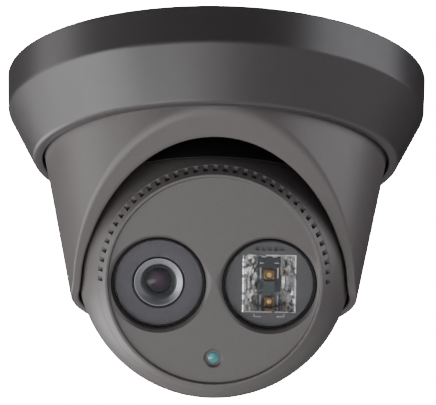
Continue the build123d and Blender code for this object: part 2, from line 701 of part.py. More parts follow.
def lens_holder():
    x = -WINDOW_X
    roof = HOLDER_FRONT - HOLDER_ROOF
    body = block(HOLDER_W, HOLDER_L, HOLDER_BACK, HOLDER_FRONT, x)
    body -= block(HOLDER_W - 2 * HOLDER_WALL, HOLDER_L - 2 * HOLDER_WALL, HOLDER_BACK, roof, x)
    guide = FILTER_W / 2 + RUN
    rail_w = HOLDER_W / 2 - HOLDER_WALL - guide
    for side in (-1, 1):
        body += block(rail_w, HOLDER_L - 2, FILTER_BACK - 1.5, HOLDER_FRONT - 1, x + side * (guide + rail_w / 2))
        shelf = guide - RAIL_LEDGE / 2
        body += block(RAIL_LEDGE, HOLDER_L - 2, FILTER_BACK - 1.5, FILTER_BACK - RUN, x + side * shelf)
    body += disc(COLLAR_R, HOLDER_FRONT, HOLDER_FRONT + COLLAR_H, x)
    return body - disc(BARREL_R + RUN, roof, HOLDER_FRONT + COLLAR_H, x)


def cut_filter():
    """Sliding frame: the infrared-cut pane stands over the lens axis, the clear hole beside it."""
    x = -WINDOW_X
    middle = FILTER_TRAVEL / 2
    top = FILTER_BACK + FILTER_T
    body = block(FILTER_W, FILTER_L, FILTER_BACK, top, x, middle)
    body -= block(FILTER_PANE, FILTER_PANE, FILTER_BACK, top, x, FILTER_TRAVEL)
    return body - block(FILTER_PANE, FILTER_PANE, FILTER_BACK + FILTER_PANE_T, top, x, 0)


def sensor_board():
    x = -WINDOW_X
    board = block(SENSOR_BOARD_W, SENSOR_BOARD_L, SENSOR_BOARD_BACK, SENSOR_BOARD_FRONT, x)
    return fillet(board.edges().filter_by(Axis.Z), 1.0)


def image_sensor():
    low = SENSOR_BOARD_FRONT + SEAT
    body = block(SENSOR_W, SENSOR_L, low, low + SENSOR_T, -WINDOW_X)
    return body - block(SENSOR_W - 2, SENSOR_L - 2, low + SENSOR_T - 0.3, low + SENSOR_T, -WINDOW_X)


def filter_coil():
    roof = HOLDER_FRONT + SEAT
    coil = Pos(-WINDOW_X, COIL_Y, roof + COIL_R) * Rot(0, 90, 0) * Cylinder(COIL_R, COIL_L)
    foot = block(COIL_L - 2, 2 * COIL_R - 1, roof, roof + COIL_R, -WINDOW_X, COIL_Y)
    return coil + foot


# ---------------------------------------------------------------- infrared lamp

LED_LOWEST = LED_END_GAP + (LED_SIDE - OPTIC_THROAT_L) / 2
LED_PLACES = [LED_LOWEST + i * OPTIC_THROAT_L / LED_COUNT for i in range(LED_COUNT)]


def ir_board():
    return disc(LAMP_BOARD_R, LAMP_BOARD_FRONT - LAMP_BOARD_T, LAMP_BOARD_FRONT, WINDOW_X)


def ir_led(y):
    low = LAMP_BOARD_FRONT + SEAT
    body = block(LED_SIDE, LED_SIDE, low, low + LED_T, WINDOW_X, y)
    return body + block(DIE_SIDE, DIE_SIDE, low + LED_T, low + LED_T + DIE_T, WINDOW_X, y)


def ir_reflector():
    low = LAMP_BOARD_FRONT + SEAT
    mouth_w, mouth_l = OPTIC_W - 2 * OPTIC_WALL, OPTIC_L - 2 * OPTIC_WALL
    throat = Pos(WINDOW_X, 0, low) * Rectangle(OPTIC_THROAT_W, OPTIC_THROAT_L)
    mouth = Pos(WINDOW_X, 0, OPTIC_FRONT) * Rectangle(mouth_w, mouth_l)
    return block(OPTIC_W, OPTIC_L, low, OPTIC_FRONT, WINDOW_X) - loft([throat, mouth])


def ir_mask():
    front = WINDOW_SEAT - 0.1
    plate = disc(WINDOW_LEDGE_R - SEAT, front - MASK_T, front, WINDOW_X)
    return plate - block(OPTIC_W + 2 * SEAT, OPTIC_L + 2 * SEAT, front - MASK_T, front, WINDOW_X)


def heat_sink():
    top = LAMP_BOARD_FRONT - LAMP_BOARD_T - SEAT
    body = disc(SINK_R, top - SINK_L, top, WINDOW_X)
    pitch = 2 * SINK_R / (SINK_SLOTS + 1)
    for i in range(SINK_SLOTS):
        x = WINDOW_X - SINK_R + pitch * (i + 1)
        body -= block(SINK_SLOT_W, 2 * SINK_R, top - SINK_L, top - SINK_BASE, x)
    return body


# ---------------------------------------------------------------- light sensor

def light_pipe():
    body = disc(LIGHT_PIPE_R, LIGHT_PIPE_BACK, LIGHT_PIPE_FRONT, 0, LIGHT_Y)
    return fillet(body.edges().sort_by(Axis.Z)[-1], 0.5)


def light_sensor():
    chip_top = LIGHT_PIPE_BACK - SEAT
    board_top = chip_top - LIGHT_CHIP_T
    board = block(LIGHT_BOARD_SIDE, LIGHT_BOARD_SIDE, board_top - 1.0, board_top, 0, LIGHT_Y)
    return board + block(LIGHT_CHIP_SIDE, LIGHT_CHIP_SIDE, board_top, chip_top, 0, LIGHT_Y)


# ---------------------------------------------------------------- chassis, main board, gland

STANDOFF_PLACES = [(x, y) for x in (-STANDOFF_XY, STANDOFF_XY) for y in (-STANDOFF_XY, STANDOFF_XY)]


def chassis():
    plate = disc(CHASSIS_R, CHASSIS_BACK, CHASSIS_FRONT)
    for angle in SHELL_SCREW_ANGLES:
        (x, y), = around((angle,), POST_CIRCLE_R)
        plate += disc(EAR_R, CHASSIS_BACK, CHASSIS_FRONT, x, y)
        neck_x = POST_CIRCLE_R - EAR_NECK_L / 2
        plate += Rot(0, 0, angle) * block(EAR_NECK_L, 2 * EAR_R, CHASSIS_BACK, CHASSIS_FRONT, neck_x)
    for x, y in around(SHELL_SCREW_ANGLES, POST_CIRCLE_R):
        plate -= disc(M3_R + HOLE_GAP, CHASSIS_BACK, CHASSIS_FRONT, x, y)
    return plate - block(WIRE_SLOT_W, WIRE_SLOT_L, CHASSIS_BACK, CHASSIS_FRONT, WINDOW_X)


def standoff(x, y):
    return disc(STANDOFF_R, MAIN_BOARD_FRONT + SEAT, CHASSIS_BACK - SEAT, x, y)


def main_board():
    board = disc(MAIN_BOARD_R, MAIN_BOARD_BACK, MAIN_BOARD_FRONT)
    for x, y in STANDOFF_PLACES:
        board -= disc(M2_R + HOLE_GAP, MAIN_BOARD_BACK, MAIN_BOARD_FRONT, x, y)
    return board


def processor():
    low = MAIN_BOARD_FRONT + SEAT
    return block(CHIP_SIDE, CHIP_SIDE, low, low + CHIP_T)


def thermal_pad():
    low = MAIN_BOARD_FRONT + SEAT + CHIP_T + PAD_GAP
    return block(CHIP_SIDE - 2, CHIP_SIDE - 2, low, CHASSIS_BACK - PAD_GAP)


def cable_socket():
    top = MAIN_BOARD_BACK - SEAT
    body = block(SOCKET_W, SOCKET_L, top - SOCKET_T, top, 0, SOCKET_Y)
    inside_w, inside_l = SOCKET_W - 2 * SOCKET_WALL, SOCKET_L - 2 * SOCKET_WALL
    return body - block(inside_w, inside_l, top - SOCKET_T, top - SOCKET_WALL, 0, SOCKET_Y)


def cable_gland():
    flange = tube(GLAND_FLANGE_R, GLAND_BORE_R, -BACK_CUT - GLAND_FLANGE_T - SEAT, -BACK_CUT - SEAT)
    snout = -BACK_CUT - GLAND_FLANGE_T - GLAND_SNOUT_L
    nut_end = BACK_WALL - BACK_CUT + GLAND_NUT_T + 1.0
    return flange + tube(GLAND_R, GLAND_BORE_R, snout, nut_end)


def gland_cap():
    top = -BACK_CUT - GLAND_FLANGE_T - 2 * SEAT
    body = tube(GLAND_CAP_R, GLAND_BORE_R, top - GLAND_CAP_L, top)
    body = fillet(body.edges().group_by(Axis.Z)[0].sort_by(lambda e: e.radius)[-1], 1.5)
    return body - disc(GLAND_R + SEAT, top - GLAND_SNOUT_L - 0.2, top)


def gland_nut():
    low = BACK_WALL - BACK_CUT + SEAT
    return Pos(0, 0, low) * extrude(RegularPolygon(GLAND_FLANGE_R, 6), GLAND_NUT_T) - disc(GLAND_R + SEAT, -FAR, 0)


# ---------------------------------------------------------------- the assembly

M2_SCREW = (M2_R, 4.0, M2_HEAD_R, M2_HEAD_H)


def in_camera():
    """The pieces in the camera's own frame."""
    pieces = {
        "mounting_base": mounting_base(),
        "base_gasket": base_gasket(),
        "pan_washer": pan_washer(),
        "trim_ring": trim_ring(),
        "lock_screw": lock_screw(),
        "housing": housing(),
        "trunnion_cap": trunnion_cap(),
    }
    seat = CAP_T + 2 * SEAT - FLANGE_LOW
    for i, (x, y) in enumerate(around(CAP_SCREW_ANGLES, CAP_SCREW_CIRCLE_R), 1):
        pieces[f"cap_screw_{i}"] = Pos(x, y, seat) * screw(M2_R, 7.0, M2_HEAD_R, M2_HEAD_H)
    return pieces


def behind_windows():
    """The pieces in the ball's frame that stand in or behind the two windows, before they are lowered."""
    pieces = {
        "lens_window": window_pane(-WINDOW_X),
        "lens_window_seal": window_seal(-WINDOW_X),
        "lens_surround": lens_surround(),
        "lens_barrel": lens_barrel(),
        "front_lens": front_lens(),
        "rear_lens": rear_lens(),
        "lens_holder": lens_holder(),
        "cut_filter": cut_filter(),
        "filter_coil": filter_coil(),
        "image_sensor": image_sensor(),
        "sensor_board": sensor_board(),
        "ir_window": window_pane(WINDOW_X),
        "ir_window_seal": window_seal(WINDOW_X),
        "ir_mask": ir_mask(),
        "ir_reflector": ir_reflector(),
        "ir_board": ir_board(),
        "heat_sink": heat_sink(),
    }
    for i, y in enumerate(LED_PLACES, 1):
        pieces[f"ir_led_{i}"] = ir_led(y)
    return pieces


def in_ball():
    """The other pieces in the ball's frame."""
    pieces = {
        "gimbal_ring": gimbal_ring(),
        "rear_shell": rear_shell(),
        "shell_seal": shell_seal(),
        "front_shell": front_shell(),
        "face_gasket": face_gasket(),
        "face_cover": face_cover(),
        "light_pipe": light_pipe(),
        "light_sensor": light_sensor(),
        "chassis": chassis(),
        "main_board": main_board(),
        "processor": processor(),
        "thermal_pad": thermal_pad(),
        "cable_socket": cable_socket(),
        "cable_gland": cable_gland(),
        "gland_cap": gland_cap(),
        "gland_nut": gland_nut(),
    }
    for i, (x, y) in enumerate(STANDOFF_PLACES, 1):
        pieces[f"standoff_{i}"] = standoff(x, y)
    seat = -SHELL_SCREW_SEAT - SEAT
    length = SHELL_SCREW_SEAT + CHASSIS_FRONT + SHELL_SCREW_BITE
    for i, (x, y) in enumerate(around(SHELL_SCREW_ANGLES, POST_CIRCLE_R), 1):
        pieces[f"shell_screw_{i}"] = Pos(x, y, seat) * Rot(180, 0, 0) * screw(M3_R, length, M3_HEAD_R, M3_HEAD_H)
    seat = LEDGE_FRONT - LEDGE_T - SEAT
    for i, (x, y) in enumerate(around(FACE_SCREW_ANGLES, FACE_SCREW_CIRCLE_R), 1):
        pieces[f"face_screw_{i}"] = Pos(x, y, seat) * Rot(180, 0, 0) * screw(*M2_SCREW)
    return pieces


os.makedirs("parts", exist_ok=True)
for node, shape in in_camera().items():
    export_step(shape, f"parts/{node}.step")
for node, shape in behind_windows().items():
    export_step(BALL * Pos(0, WINDOW_Y, 0) * shape, f"parts/{node}.step")
for node, shape in in_ball().items():
    export_step(BALL * shape, f"parts/{node}.step")
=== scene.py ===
# %% [markdown]
# # A ceiling turret camera
#
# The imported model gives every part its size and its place. This lesson gives the parts that show their
# finish: satin paint on turned and cast shells, a lens behind a flat window, and a small infrared lamp
# with a mirrored reflector. Sizes are in millimetres, and `MM` turns them into Blender's metres.

# %% Load the frame
import json
from math import cos, pi, radians, sin, sqrt, tan

import bpy
import bmesh
import numpy as np
from mathutils import Matrix, Vector


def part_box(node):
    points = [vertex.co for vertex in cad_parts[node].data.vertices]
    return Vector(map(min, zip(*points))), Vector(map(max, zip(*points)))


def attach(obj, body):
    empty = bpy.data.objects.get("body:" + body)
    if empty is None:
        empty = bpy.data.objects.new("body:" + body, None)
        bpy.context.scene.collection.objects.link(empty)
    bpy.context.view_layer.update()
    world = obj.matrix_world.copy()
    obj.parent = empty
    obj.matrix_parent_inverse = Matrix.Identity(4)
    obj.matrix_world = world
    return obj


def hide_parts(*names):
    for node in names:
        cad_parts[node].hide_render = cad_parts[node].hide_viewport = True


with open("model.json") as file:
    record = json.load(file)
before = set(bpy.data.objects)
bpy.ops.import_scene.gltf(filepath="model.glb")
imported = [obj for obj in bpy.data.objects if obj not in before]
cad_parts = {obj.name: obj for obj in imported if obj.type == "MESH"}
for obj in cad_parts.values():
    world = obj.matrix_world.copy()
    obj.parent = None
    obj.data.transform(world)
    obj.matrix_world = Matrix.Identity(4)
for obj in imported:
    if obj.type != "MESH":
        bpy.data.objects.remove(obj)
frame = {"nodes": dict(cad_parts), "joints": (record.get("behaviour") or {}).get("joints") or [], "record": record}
NODES = frame["nodes"]
JOINTS = {joint["name"]: joint for joint in frame["joints"]}
BODY_OF = {node: body for body, nodes in frame["record"]["behaviour"]["bodies"].items() for node in nodes}
SLOT_OF = {part["node"]: part["material_slot"] for part in frame["record"]["subparts"]}
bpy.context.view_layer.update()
MM = 0.001

# %% [markdown]
# ## The frames of the two halves
#
# The housing is described about the ceiling's vertical axis. The ball has a frame of its own, with its
# origin at the ball's centre and +Z along the line of sight. The roll joint holds both, so the ball's
# matrix is read from it, and a piece that is drawn in the ball's frame is carried over in one product.
# The windows stand a little below the face's middle, so what is behind them has a frame shifted by that.

# %% Read the sizes that the model fixes
BALL_CENTRE = Vector(JOINTS["roll"]["pos_m"]) / MM
SIGHT = Vector(JOINTS["roll"]["axis"]).normalized()
RIGHT = Vector(JOINTS["tilt"]["axis"]).normalized()
UP = SIGHT.cross(RIGHT)
BALL_FRAME = Matrix((
    (RIGHT.x, UP.x, SIGHT.x, BALL_CENTRE.x),
    (RIGHT.y, UP.y, SIGHT.y, BALL_CENTRE.y),
    (RIGHT.z, UP.z, SIGHT.z, BALL_CENTRE.z),
    (0, 0, 0, 1),
))
CAMERA_FRAME = Matrix.Identity(4)
WINDOW_Y = -1.2
WINDOW_FRAME = BALL_FRAME @ Matrix.Translation((0, WINDOW_Y, 0))
BALL_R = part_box("rear_shell")[1].x / MM
RING_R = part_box("trim_ring")[1].x / MM
RING_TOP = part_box("trim_ring")[1].z / MM
RING_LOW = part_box("trim_ring")[0].z / MM
FLANGE_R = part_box("housing")[1].x / MM
print("ball radius", round(BALL_R, 2), "ring radius", round(RING_R, 2), "ball centre", round(BALL_CENTRE.z, 2))

# %% [markdown]
# ## Profiles and surfaces
#
# Almost everything on a camera like this is turned: one outline carried round an axis. An outline is a
# short list of corners, each with the radius it is rounded to, so that every edge catches a thin line of
# light as a real moulded edge does. The arcs and the turning are worked out as whole arrays.

# %% An outline with rounded corners
ARC_STEPS = 6


def rounded(corners, closed=True):
    """Outline through (x, y, radius) corners: each corner is replaced by a quadratic arc whose two ends
    lie one tangent length along its sides. The tangent length is radius * tan(turn / 2), and is kept
    under half of each side."""
    points = []
    count = len(corners)
    for i, (x, y, radius) in enumerate(corners):
        here = np.array((x, y), float)
        before = np.array(corners[i - 1][:2], float) - here
        after = np.array(corners[(i + 1) % count][:2], float) - here
        end = not closed and i in (0, count - 1)
        if radius <= 0 or end:
            points.append(here[None])
            continue
        la, lb = np.linalg.norm(before), np.linalg.norm(after)
        turn = pi - np.arccos(np.clip(before @ after / (la * lb), -1, 1))
        reach = min(radius * np.tan(turn / 2), 0.49 * la, 0.49 * lb)
        start, finish = here + before / la * reach, here + after / lb * reach
        t = np.linspace(0, 1, ARC_STEPS + 1)[:, None]
        points.append((1 - t) ** 2 * start + 2 * t * (1 - t) * here + t**2 * finish)
    return np.concatenate(points)


# %% A grid of points becomes a mesh
def grid_faces(rows, columns, wrap_rows=False):
    """Quads between neighbouring points of a grid whose rows are closed loops: corner (i, j) is vertex
    i * columns + j."""
    i = np.arange(rows if wrap_rows else rows - 1)
    i, j = np.meshgrid(i, np.arange(columns), indexing="ij")
    i2, j2 = (i + 1) % rows, (j + 1) % columns
    quads = np.stack((i * columns + j, i * columns + j2, i2 * columns + j2, i2 * columns + j), -1)
    return quads.reshape(-1, 4)


def soften(mesh, angle=32.0):
    """Merges doubles, points every face outwards, and keeps only edges sharper than the angle hard."""
    work = bmesh.new()
    work.from_mesh(mesh)
    bmesh.ops.remove_doubles(work, verts=work.verts, dist=1e-7)
    bmesh.ops.dissolve_degenerate(work, edges=work.edges, dist=1e-8)
    bmesh.ops.recalc_face_normals(work, faces=work.faces)
    for face in work.faces:
        face.smooth = True
    for edge in work.edges:
        edge.smooth = len(edge.link_faces) == 2 and edge.calc_face_angle(0.0) < radians(angle)
    work.to_mesh(mesh)
    work.free()
    mesh.update()


def new_object(name, vertices, faces, place=CAMERA_FRAME, angle=32.0):
    """Object at the origin whose vertices, given in millimetres, are carried by the place matrix."""
    matrix = np.array(place)
    points = np.asarray(vertices, float) @ matrix[:3, :3].T + matrix[:3, 3]
    mesh = bpy.data.meshes.new(name)
    mesh.from_pydata((points * MM).tolist(), [], [list(map(int, face)) for face in faces])
    obj = bpy.data.objects.new(name, mesh)
    bpy.context.scene.collection.objects.link(obj)
    soften(mesh, angle)
    return obj


# %% Turning an outline round an axis
def lathe(name, outline, place=CAMERA_FRAME, x=0.0, y=0.0, segments=320, closed=True):
    """Surface of revolution: point (r, z) of the outline goes to (x + r cos a, y + r sin a, z)."""
    outline = np.asarray(outline, float)
    angles = np.arange(segments) * 2 * pi / segments
    r, z = outline[:, :1], outline[:, 1:]
    points = np.stack((x + r * np.cos(angles), y + r * np.sin(angles), z + 0 * angles), -1)
    faces = grid_faces(len(outline), segments, wrap_rows=closed)
    return new_object(name, points.reshape(-1, 3), faces, place)


def ball_arc(z_low, z_high, radius, steps):
    """(r, z) points of a circle about the ball's centre between two heights."""
    start, end = np.arcsin(z_low / radius), np.arcsin(z_high / radius)
    a = np.linspace(start, end, steps)
    return np.stack((radius * np.cos(a), radius * np.sin(a)), -1)


# %% [markdown]
# ## Pieces that keep the model's own shape
#
# Screws, boards and brackets already have the right shape, but their meshes are loose triangles. A copy
# is merged, its smooth faces are marked smooth, and a small Bevel rounds the hard edges. The copy then
# stands for the node.

# %% Cutting, bevelling and handing over
BEVEL_ANGLE = 35.0


def carve(target, *cutters):
    """Takes the cutters' volumes out of the target with exact booleans, and drops the cutters."""
    for cutter in cutters:
        cut = target.modifiers.new("cut", "BOOLEAN")
        cut.operation = "DIFFERENCE"
        cut.solver = "EXACT"
        cut.object = cutter
    bpy.context.view_layer.update()
    mesh = bpy.data.meshes.new_from_object(target.evaluated_get(bpy.context.evaluated_depsgraph_get()))
    target.modifiers.clear()
    target.data = mesh
    for cutter in cutters:
        bpy.data.objects.remove(cutter)
    soften(mesh)
    return target


def weighted(obj):
    """Large flat faces keep their own normal, so that a rounded edge beside them shades cleanly."""
    normals = obj.modifiers.new("normals", "WEIGHTED_NORMAL")
    normals.keep_sharp = True
    normals.weight = 80
    return obj


def bevelled(obj, width):
    """Rounds hard edges by the width, in millimetres."""
    bevel = obj.modifiers.new("edges", "BEVEL")
    bevel.width = width * MM
    bevel.segments = 2
    bevel.limit_method = "ANGLE"
    bevel.angle_limit = radians(BEVEL_ANGLE)
    bevel.harden_normals = False
    return weighted(obj)


def place_piece(obj, material, body, *nodes, finish=None):
    """Gives the piece its material and its body, and the nodes that it stands for."""
    obj.data.materials.clear()
    obj.data.materials.append(material)
    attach(obj, body)
    if nodes:
        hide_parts(*nodes)
    return obj


def merged_copy(node, name):
    """The node's own shape as a clean mesh."""
    mesh = NODES[node].data.copy()
    mesh.name = name
    obj = bpy.data.objects.new(name, mesh)
    bpy.context.scene.collection.objects.link(obj)
    soften(mesh, 28.0)
    return obj


# %% [markdown]
# ## Shader maths
#
# Every finish here is a handful of noise patterns mixed by arithmetic. `Value` wraps a socket so that the
# arithmetic reads as arithmetic, and `Shader.node` adds any other node in one call.

# %% A socket that does sums
class Value:
    def __init__(self, shader, socket):
        self.shader, self.socket = shader, socket

    def _math(self, operation, *inputs):
        return self.shader.node("ShaderNodeMath", {"operation": operation}, *inputs)

    def __add__(self, other):
        return self._math("ADD", self, other)

    def __sub__(self, other):
        return self._math("SUBTRACT", self, other)

    def __rsub__(self, other):
        return self._math("SUBTRACT", other, self)

    def __mul__(self, other):
        return self._math("MULTIPLY", self, other)

    def between(self, low, high):
        """0 below low, 1 above high, and a smooth step between them."""
        settings = {"interpolation_type": "SMOOTHSTEP"}
        return self.shader.node("ShaderNodeMapRange", settings, Value=self, **{"From Min": low, "From Max": high})

    __radd__, __rmul__ = __add__, __mul__


class Shader:
    """A material with one Principled shader, whose sockets are set by name."""

    def __init__(self, name, **settings):
        self.material = bpy.data.materials.new(name)
        self.material.use_nodes = True
        self.tree = self.material.node_tree
        self.surface = self.tree.nodes["Principled BSDF"]
        self.set(**settings)
        coordinates = self.tree.nodes.new("ShaderNodeTexCoord")
        self.place = Value(self, coordinates.outputs["Object"])

    def set(self, **settings):
        for key, value in settings.items():
            self._feed(self.surface.inputs[key.replace("_", " ")], value)
        return self

    def _feed(self, socket, value):
        if isinstance(value, Value):
            self.tree.links.new(value.socket, socket)
        elif socket.type == "RGBA" and len(value) == 3:
            socket.default_value = (*value, 1.0)
        else:
            socket.default_value = value

    def node(self, kind, settings, *inputs, output=0, **named):
        """Adds a node: its settings first, then its sockets by order or by name."""
        node = self.tree.nodes.new(kind)
        for key, value in settings.items():
            setattr(node, key, value)
        for socket, value in zip(node.inputs, inputs):
            self._feed(socket, value)
        for key, value in named.items():
            self._feed(node.inputs[key], value)
        return Value(self, node.outputs[output])

    def noise(self, size, detail=2.0, roughness=0.5):
        """Noise whose blobs are about this many millimetres across."""
        scale = 1.0 / (size * MM)
        return self.node("ShaderNodeTexNoise", {}, Vector=self.place, Scale=scale, Detail=detail, Roughness=roughness)

    def blend(self, factor, a, b):
        """Colour a where the factor is 0, colour b where it is 1."""
        node = self.tree.nodes.new("ShaderNodeMix")
        node.data_type = "RGBA"
        self._feed(node.inputs["Factor"], factor)
        for socket, colour in zip([s for s in node.inputs if s.type == "RGBA"], (a, b)):
            self._feed(socket, colour)
        return Value(self, [s for s in node.outputs if s.type == "RGBA"][0])

    def bump(self, height, depth, strength):
        """Normal of a height pattern that stands this many millimetres high."""
        normal = self.node("ShaderNodeBump", {}, Strength=strength, Distance=depth * MM, Height=height)
        return self.set(Normal=normal)


# %% [markdown]
# ## Satin paint
#
# The shells are die-cast and powder coated in charcoal. Close up, powder coat has a fine orange peel a
# few tenths of a millimetre across, and its gloss wanders a little. Three sizes of noise do that: broad
# clouds in the colour, a middle size in the roughness, and the orange peel in the bump.

# %% Charcoal powder coat
def powder_coat(name, colour, roughness, peel=0.45):
    shader = Shader(name, Specular_IOR_Level=0.85)
    clouds = shader.noise(34.0, 3.0)
    grain = shader.noise(0.32, 2.0, 0.6)
    dark = tuple(c * 0.9 for c in colour)
    light = tuple(min(1.0, c * 1.1) for c in colour)
    fine_dark = shader.blend(grain.between(0.3, 0.7), dark, light)
    shader.set(Base_Color=shader.blend(clouds * 0.35, fine_dark, colour))
    shader.set(Roughness=roughness + 0.09 * (shader.noise(5.0, 3.0) - 0.5) + 0.06 * (grain - 0.5))
    shader.bump(shader.noise(peel, 2.0, 0.55) + 0.35 * grain, 0.012, 0.55)
    return shader.material


HOUSING_PAINT = powder_coat("housing_paint", (0.128, 0.114, 0.115), 0.42)
# The ring is the same charcoal as the housing, made about half as bright as painted shade for its dark upright wall.
SHADED_RING_PAINT = powder_coat("ring_paint", (0.058, 0.052, 0.054), 0.36)
BALL_PAINT = powder_coat("ball_paint", (0.122, 0.109, 0.11), 0.43, 0.38)
print("paint", HOUSING_PAINT.name, SHADED_RING_PAINT.name, BALL_PAINT.name)

# %% [markdown]
# ## Plain plastics, rubber and metals
#
# The parts behind the paint are moulded, rubber or metal. Each gets its own grain: spark-eroded texture
# on moulded black, a dusty bloom on rubber, and fine lines along turned or rolled metal.

# %% Moulded plastics and rubber
def moulded(name, colour, roughness, grain_size=0.25, depth=0.01):
    shader = Shader(name)
    grain = shader.noise(grain_size, 3.0, 0.6)
    shade = shader.blend(grain.between(0.35, 0.7), tuple(c * 0.8 for c in colour), colour)
    flow = shader.noise(14.0, 2.0)
    lighter = tuple(min(1.0, c * 1.25 + 0.004) for c in colour)
    shader.set(Base_Color=shader.blend(flow * 0.4, shade, lighter))
    shader.set(Roughness=roughness + 0.12 * (grain - 0.5) + 0.05 * flow)
    shader.bump(grain, depth, 0.6)
    return shader.material


def rubber(name, colour):
    shader = Shader(name, Specular_IOR_Level=0.35)
    bloom = shader.noise(3.0, 4.0, 0.6).between(0.45, 0.75)
    shader.set(Base_Color=shader.blend(bloom * 0.5, colour, tuple(c * 2.2 + 0.006 for c in colour)))
    shader.set(Roughness=0.62 + 0.15 * bloom)
    shader.bump(shader.noise(0.4, 3.0), 0.012, 0.5)
    return shader.material


# %% Turned, blasted and plated metals
def metal(name, colour, roughness, stretch=(1.0, 1.0, 1.0), size=0.6, depth=0.004):
    """Metal with a grain drawn out along one axis by stretching the pattern's coordinates."""
    shader = Shader(name, Metallic=1.0)
    place = shader.node("ShaderNodeMapping", {}, Vector=shader.place, Scale=stretch)
    grain = shader.node("ShaderNodeTexNoise", {}, Vector=place, Scale=1.0 / (size * MM), Detail=4.0)
    tarnish = shader.noise(7.0, 3.0)
    shade = shader.blend(grain.between(0.3, 0.75), tuple(c * 0.82 for c in colour), colour)
    shader.set(Base_Color=shader.blend(tarnish * 0.3, shade, tuple(c * 0.88 for c in colour)))
    shader.set(Roughness=roughness + 0.14 * (grain - 0.5) + 0.05 * tarnish)
    shader.bump(grain, depth, 0.5)
    return shader.material


BLACK_PLASTIC = moulded("black_plastic", (0.012, 0.012, 0.013), 0.5)
BASE_PLASTIC = moulded("base_plastic", (0.03, 0.03, 0.032), 0.55, 0.5, 0.02)
ACETAL = moulded("bearing_plastic", (0.7, 0.69, 0.64), 0.35)
NYLON = moulded("socket_plastic", (0.74, 0.72, 0.64), 0.42)
RUBBER = rubber("seal_rubber", (0.008, 0.008, 0.009))
PAD_RUBBER = rubber("pad_rubber", (0.24, 0.3, 0.36))
STEEL = metal("zinc_plated_steel", (0.62, 0.61, 0.58), 0.3, size=1.2)
SHEET_METAL = metal("rolled_aluminium", (0.6, 0.6, 0.61), 0.34, (0.04, 1.0, 1.0))
SINK_METAL = metal("extruded_aluminium", (0.5, 0.5, 0.52), 0.4, (1.0, 0.05, 1.0))
print("plain finishes made")

# %% [markdown]
# ## Circuit boards and packages
#
# A board is dark green solder mask over copper, so tracks show as a faintly lighter relief. A Voronoi
# cell pattern in square distance gives blocks like track runs, and noise breaks them up.

# %% Board, ceramic and chip finishes
def board(name, mask_colour, track_colour):
    shader = Shader(name, Coat_Weight=0.4, Coat_Roughness=0.15)
    settings = {"distance": "CHEBYCHEV", "feature": "F1"}
    cells = shader.node("ShaderNodeTexVoronoi", settings, Vector=shader.place, Scale=1.0 / (1.7 * MM))
    tracks = cells.between(0.28, 0.34) * shader.noise(6.0, 1.0).between(0.42, 0.5)
    shader.set(Base_Color=shader.blend(tracks, mask_colour, track_colour))
    shader.set(Roughness=0.36 - 0.08 * tracks)
    shader.bump(tracks, 0.03, 0.6)
    return shader.material


BOARD_GREEN = board("green_solder_mask", (0.008, 0.07, 0.03), (0.02, 0.15, 0.06))
BOARD_WHITE = board("lamp_board_mask", (0.03, 0.04, 0.05), (0.16, 0.2, 0.22))
CHIP = moulded("moulded_package", (0.02, 0.02, 0.021), 0.38, 0.12, 0.006)
CERAMIC = moulded("sensor_package", (0.05, 0.055, 0.07), 0.25, 0.6, 0.004)


def varnished_winding(name):
    """Copper wire: rings across the coil's axis, from a wave along X."""
    shader = Shader(name, Metallic=0.9, Coat_Weight=0.6, Coat_Roughness=0.1)
    settings = {"bands_direction": "X"}
    wave = shader.node("ShaderNodeTexWave", settings, Vector=shader.place, Scale=1.0 / (1.9 * MM), output=1)
    shader.set(Base_Color=shader.blend(wave, (0.22, 0.07, 0.03), (0.62, 0.27, 0.11)))
    shader.set(Roughness=0.28 + 0.1 * shader.noise(1.5))
    shader.bump(wave, 0.08, 0.8)
    return shader.material


COPPER = varnished_winding("copper_winding")
print("boards and packages made")

# %% [markdown]
# ## Trim ring
#
# The ring hides the mounting base. It is an upright wall over a cone, with a rounded foot that turns in
# towards the housing. One closed outline is turned round the vertical axis; the corner between the wall
# and the cone is softened by 2 mm, as the die leaves it.

# %% Turn the ring
RING_WALL_LOW = -11.25
RING_FLARE = 7.5
CONE_LOW = -25.45
RING_WALL = 2.2
HOUSING_TAPER = 0.205
HOUSING_WALL = 3.25
BALL_GAP = 0.8
RING_TO_HOUSING = 0.8
GROOVE_REACH = 0.4
GROOVE_LOW, GROOVE_TOP = -22.5, -19.5
LOCK_SCREW_Z = -4.2


def housing_r(z):
    """Outer radius of the housing at height z: it widens by the taper for each millimetre upwards."""
    return BALL_R + BALL_GAP + HOUSING_WALL + HOUSING_TAPER * (z - BALL_CENTRE.z)


def trim_ring():
    """Wall, cone and foot outside; inside, the groove that takes the housing's flange."""
    wall_low_r = RING_R - 0.45
    cone_low_r = wall_low_r - RING_FLARE
    foot_r = cone_low_r - RING_FLARE / (RING_WALL_LOW - CONE_LOW) * (CONE_LOW - RING_LOW)
    bore = wall_low_r - RING_WALL
    outline = rounded([
        (RING_R, RING_TOP, 0.5),
        (wall_low_r, RING_WALL_LOW, 3.2),
        (foot_r, RING_LOW, 1.9),
        (housing_r(RING_LOW) + RING_TO_HOUSING, RING_LOW, 0.5),
        (housing_r(GROOVE_LOW) + RING_TO_HOUSING, GROOVE_LOW, 0.2),
        (FLANGE_R + GROOVE_REACH, GROOVE_LOW, 0.2),
        (FLANGE_R + GROOVE_REACH, GROOVE_TOP, 0.2),
        (bore, RING_WALL_LOW, 0.6),
        (bore, RING_TOP, 0.4),
    ])
    return lathe("trim_ring_shell", outline, segments=360)


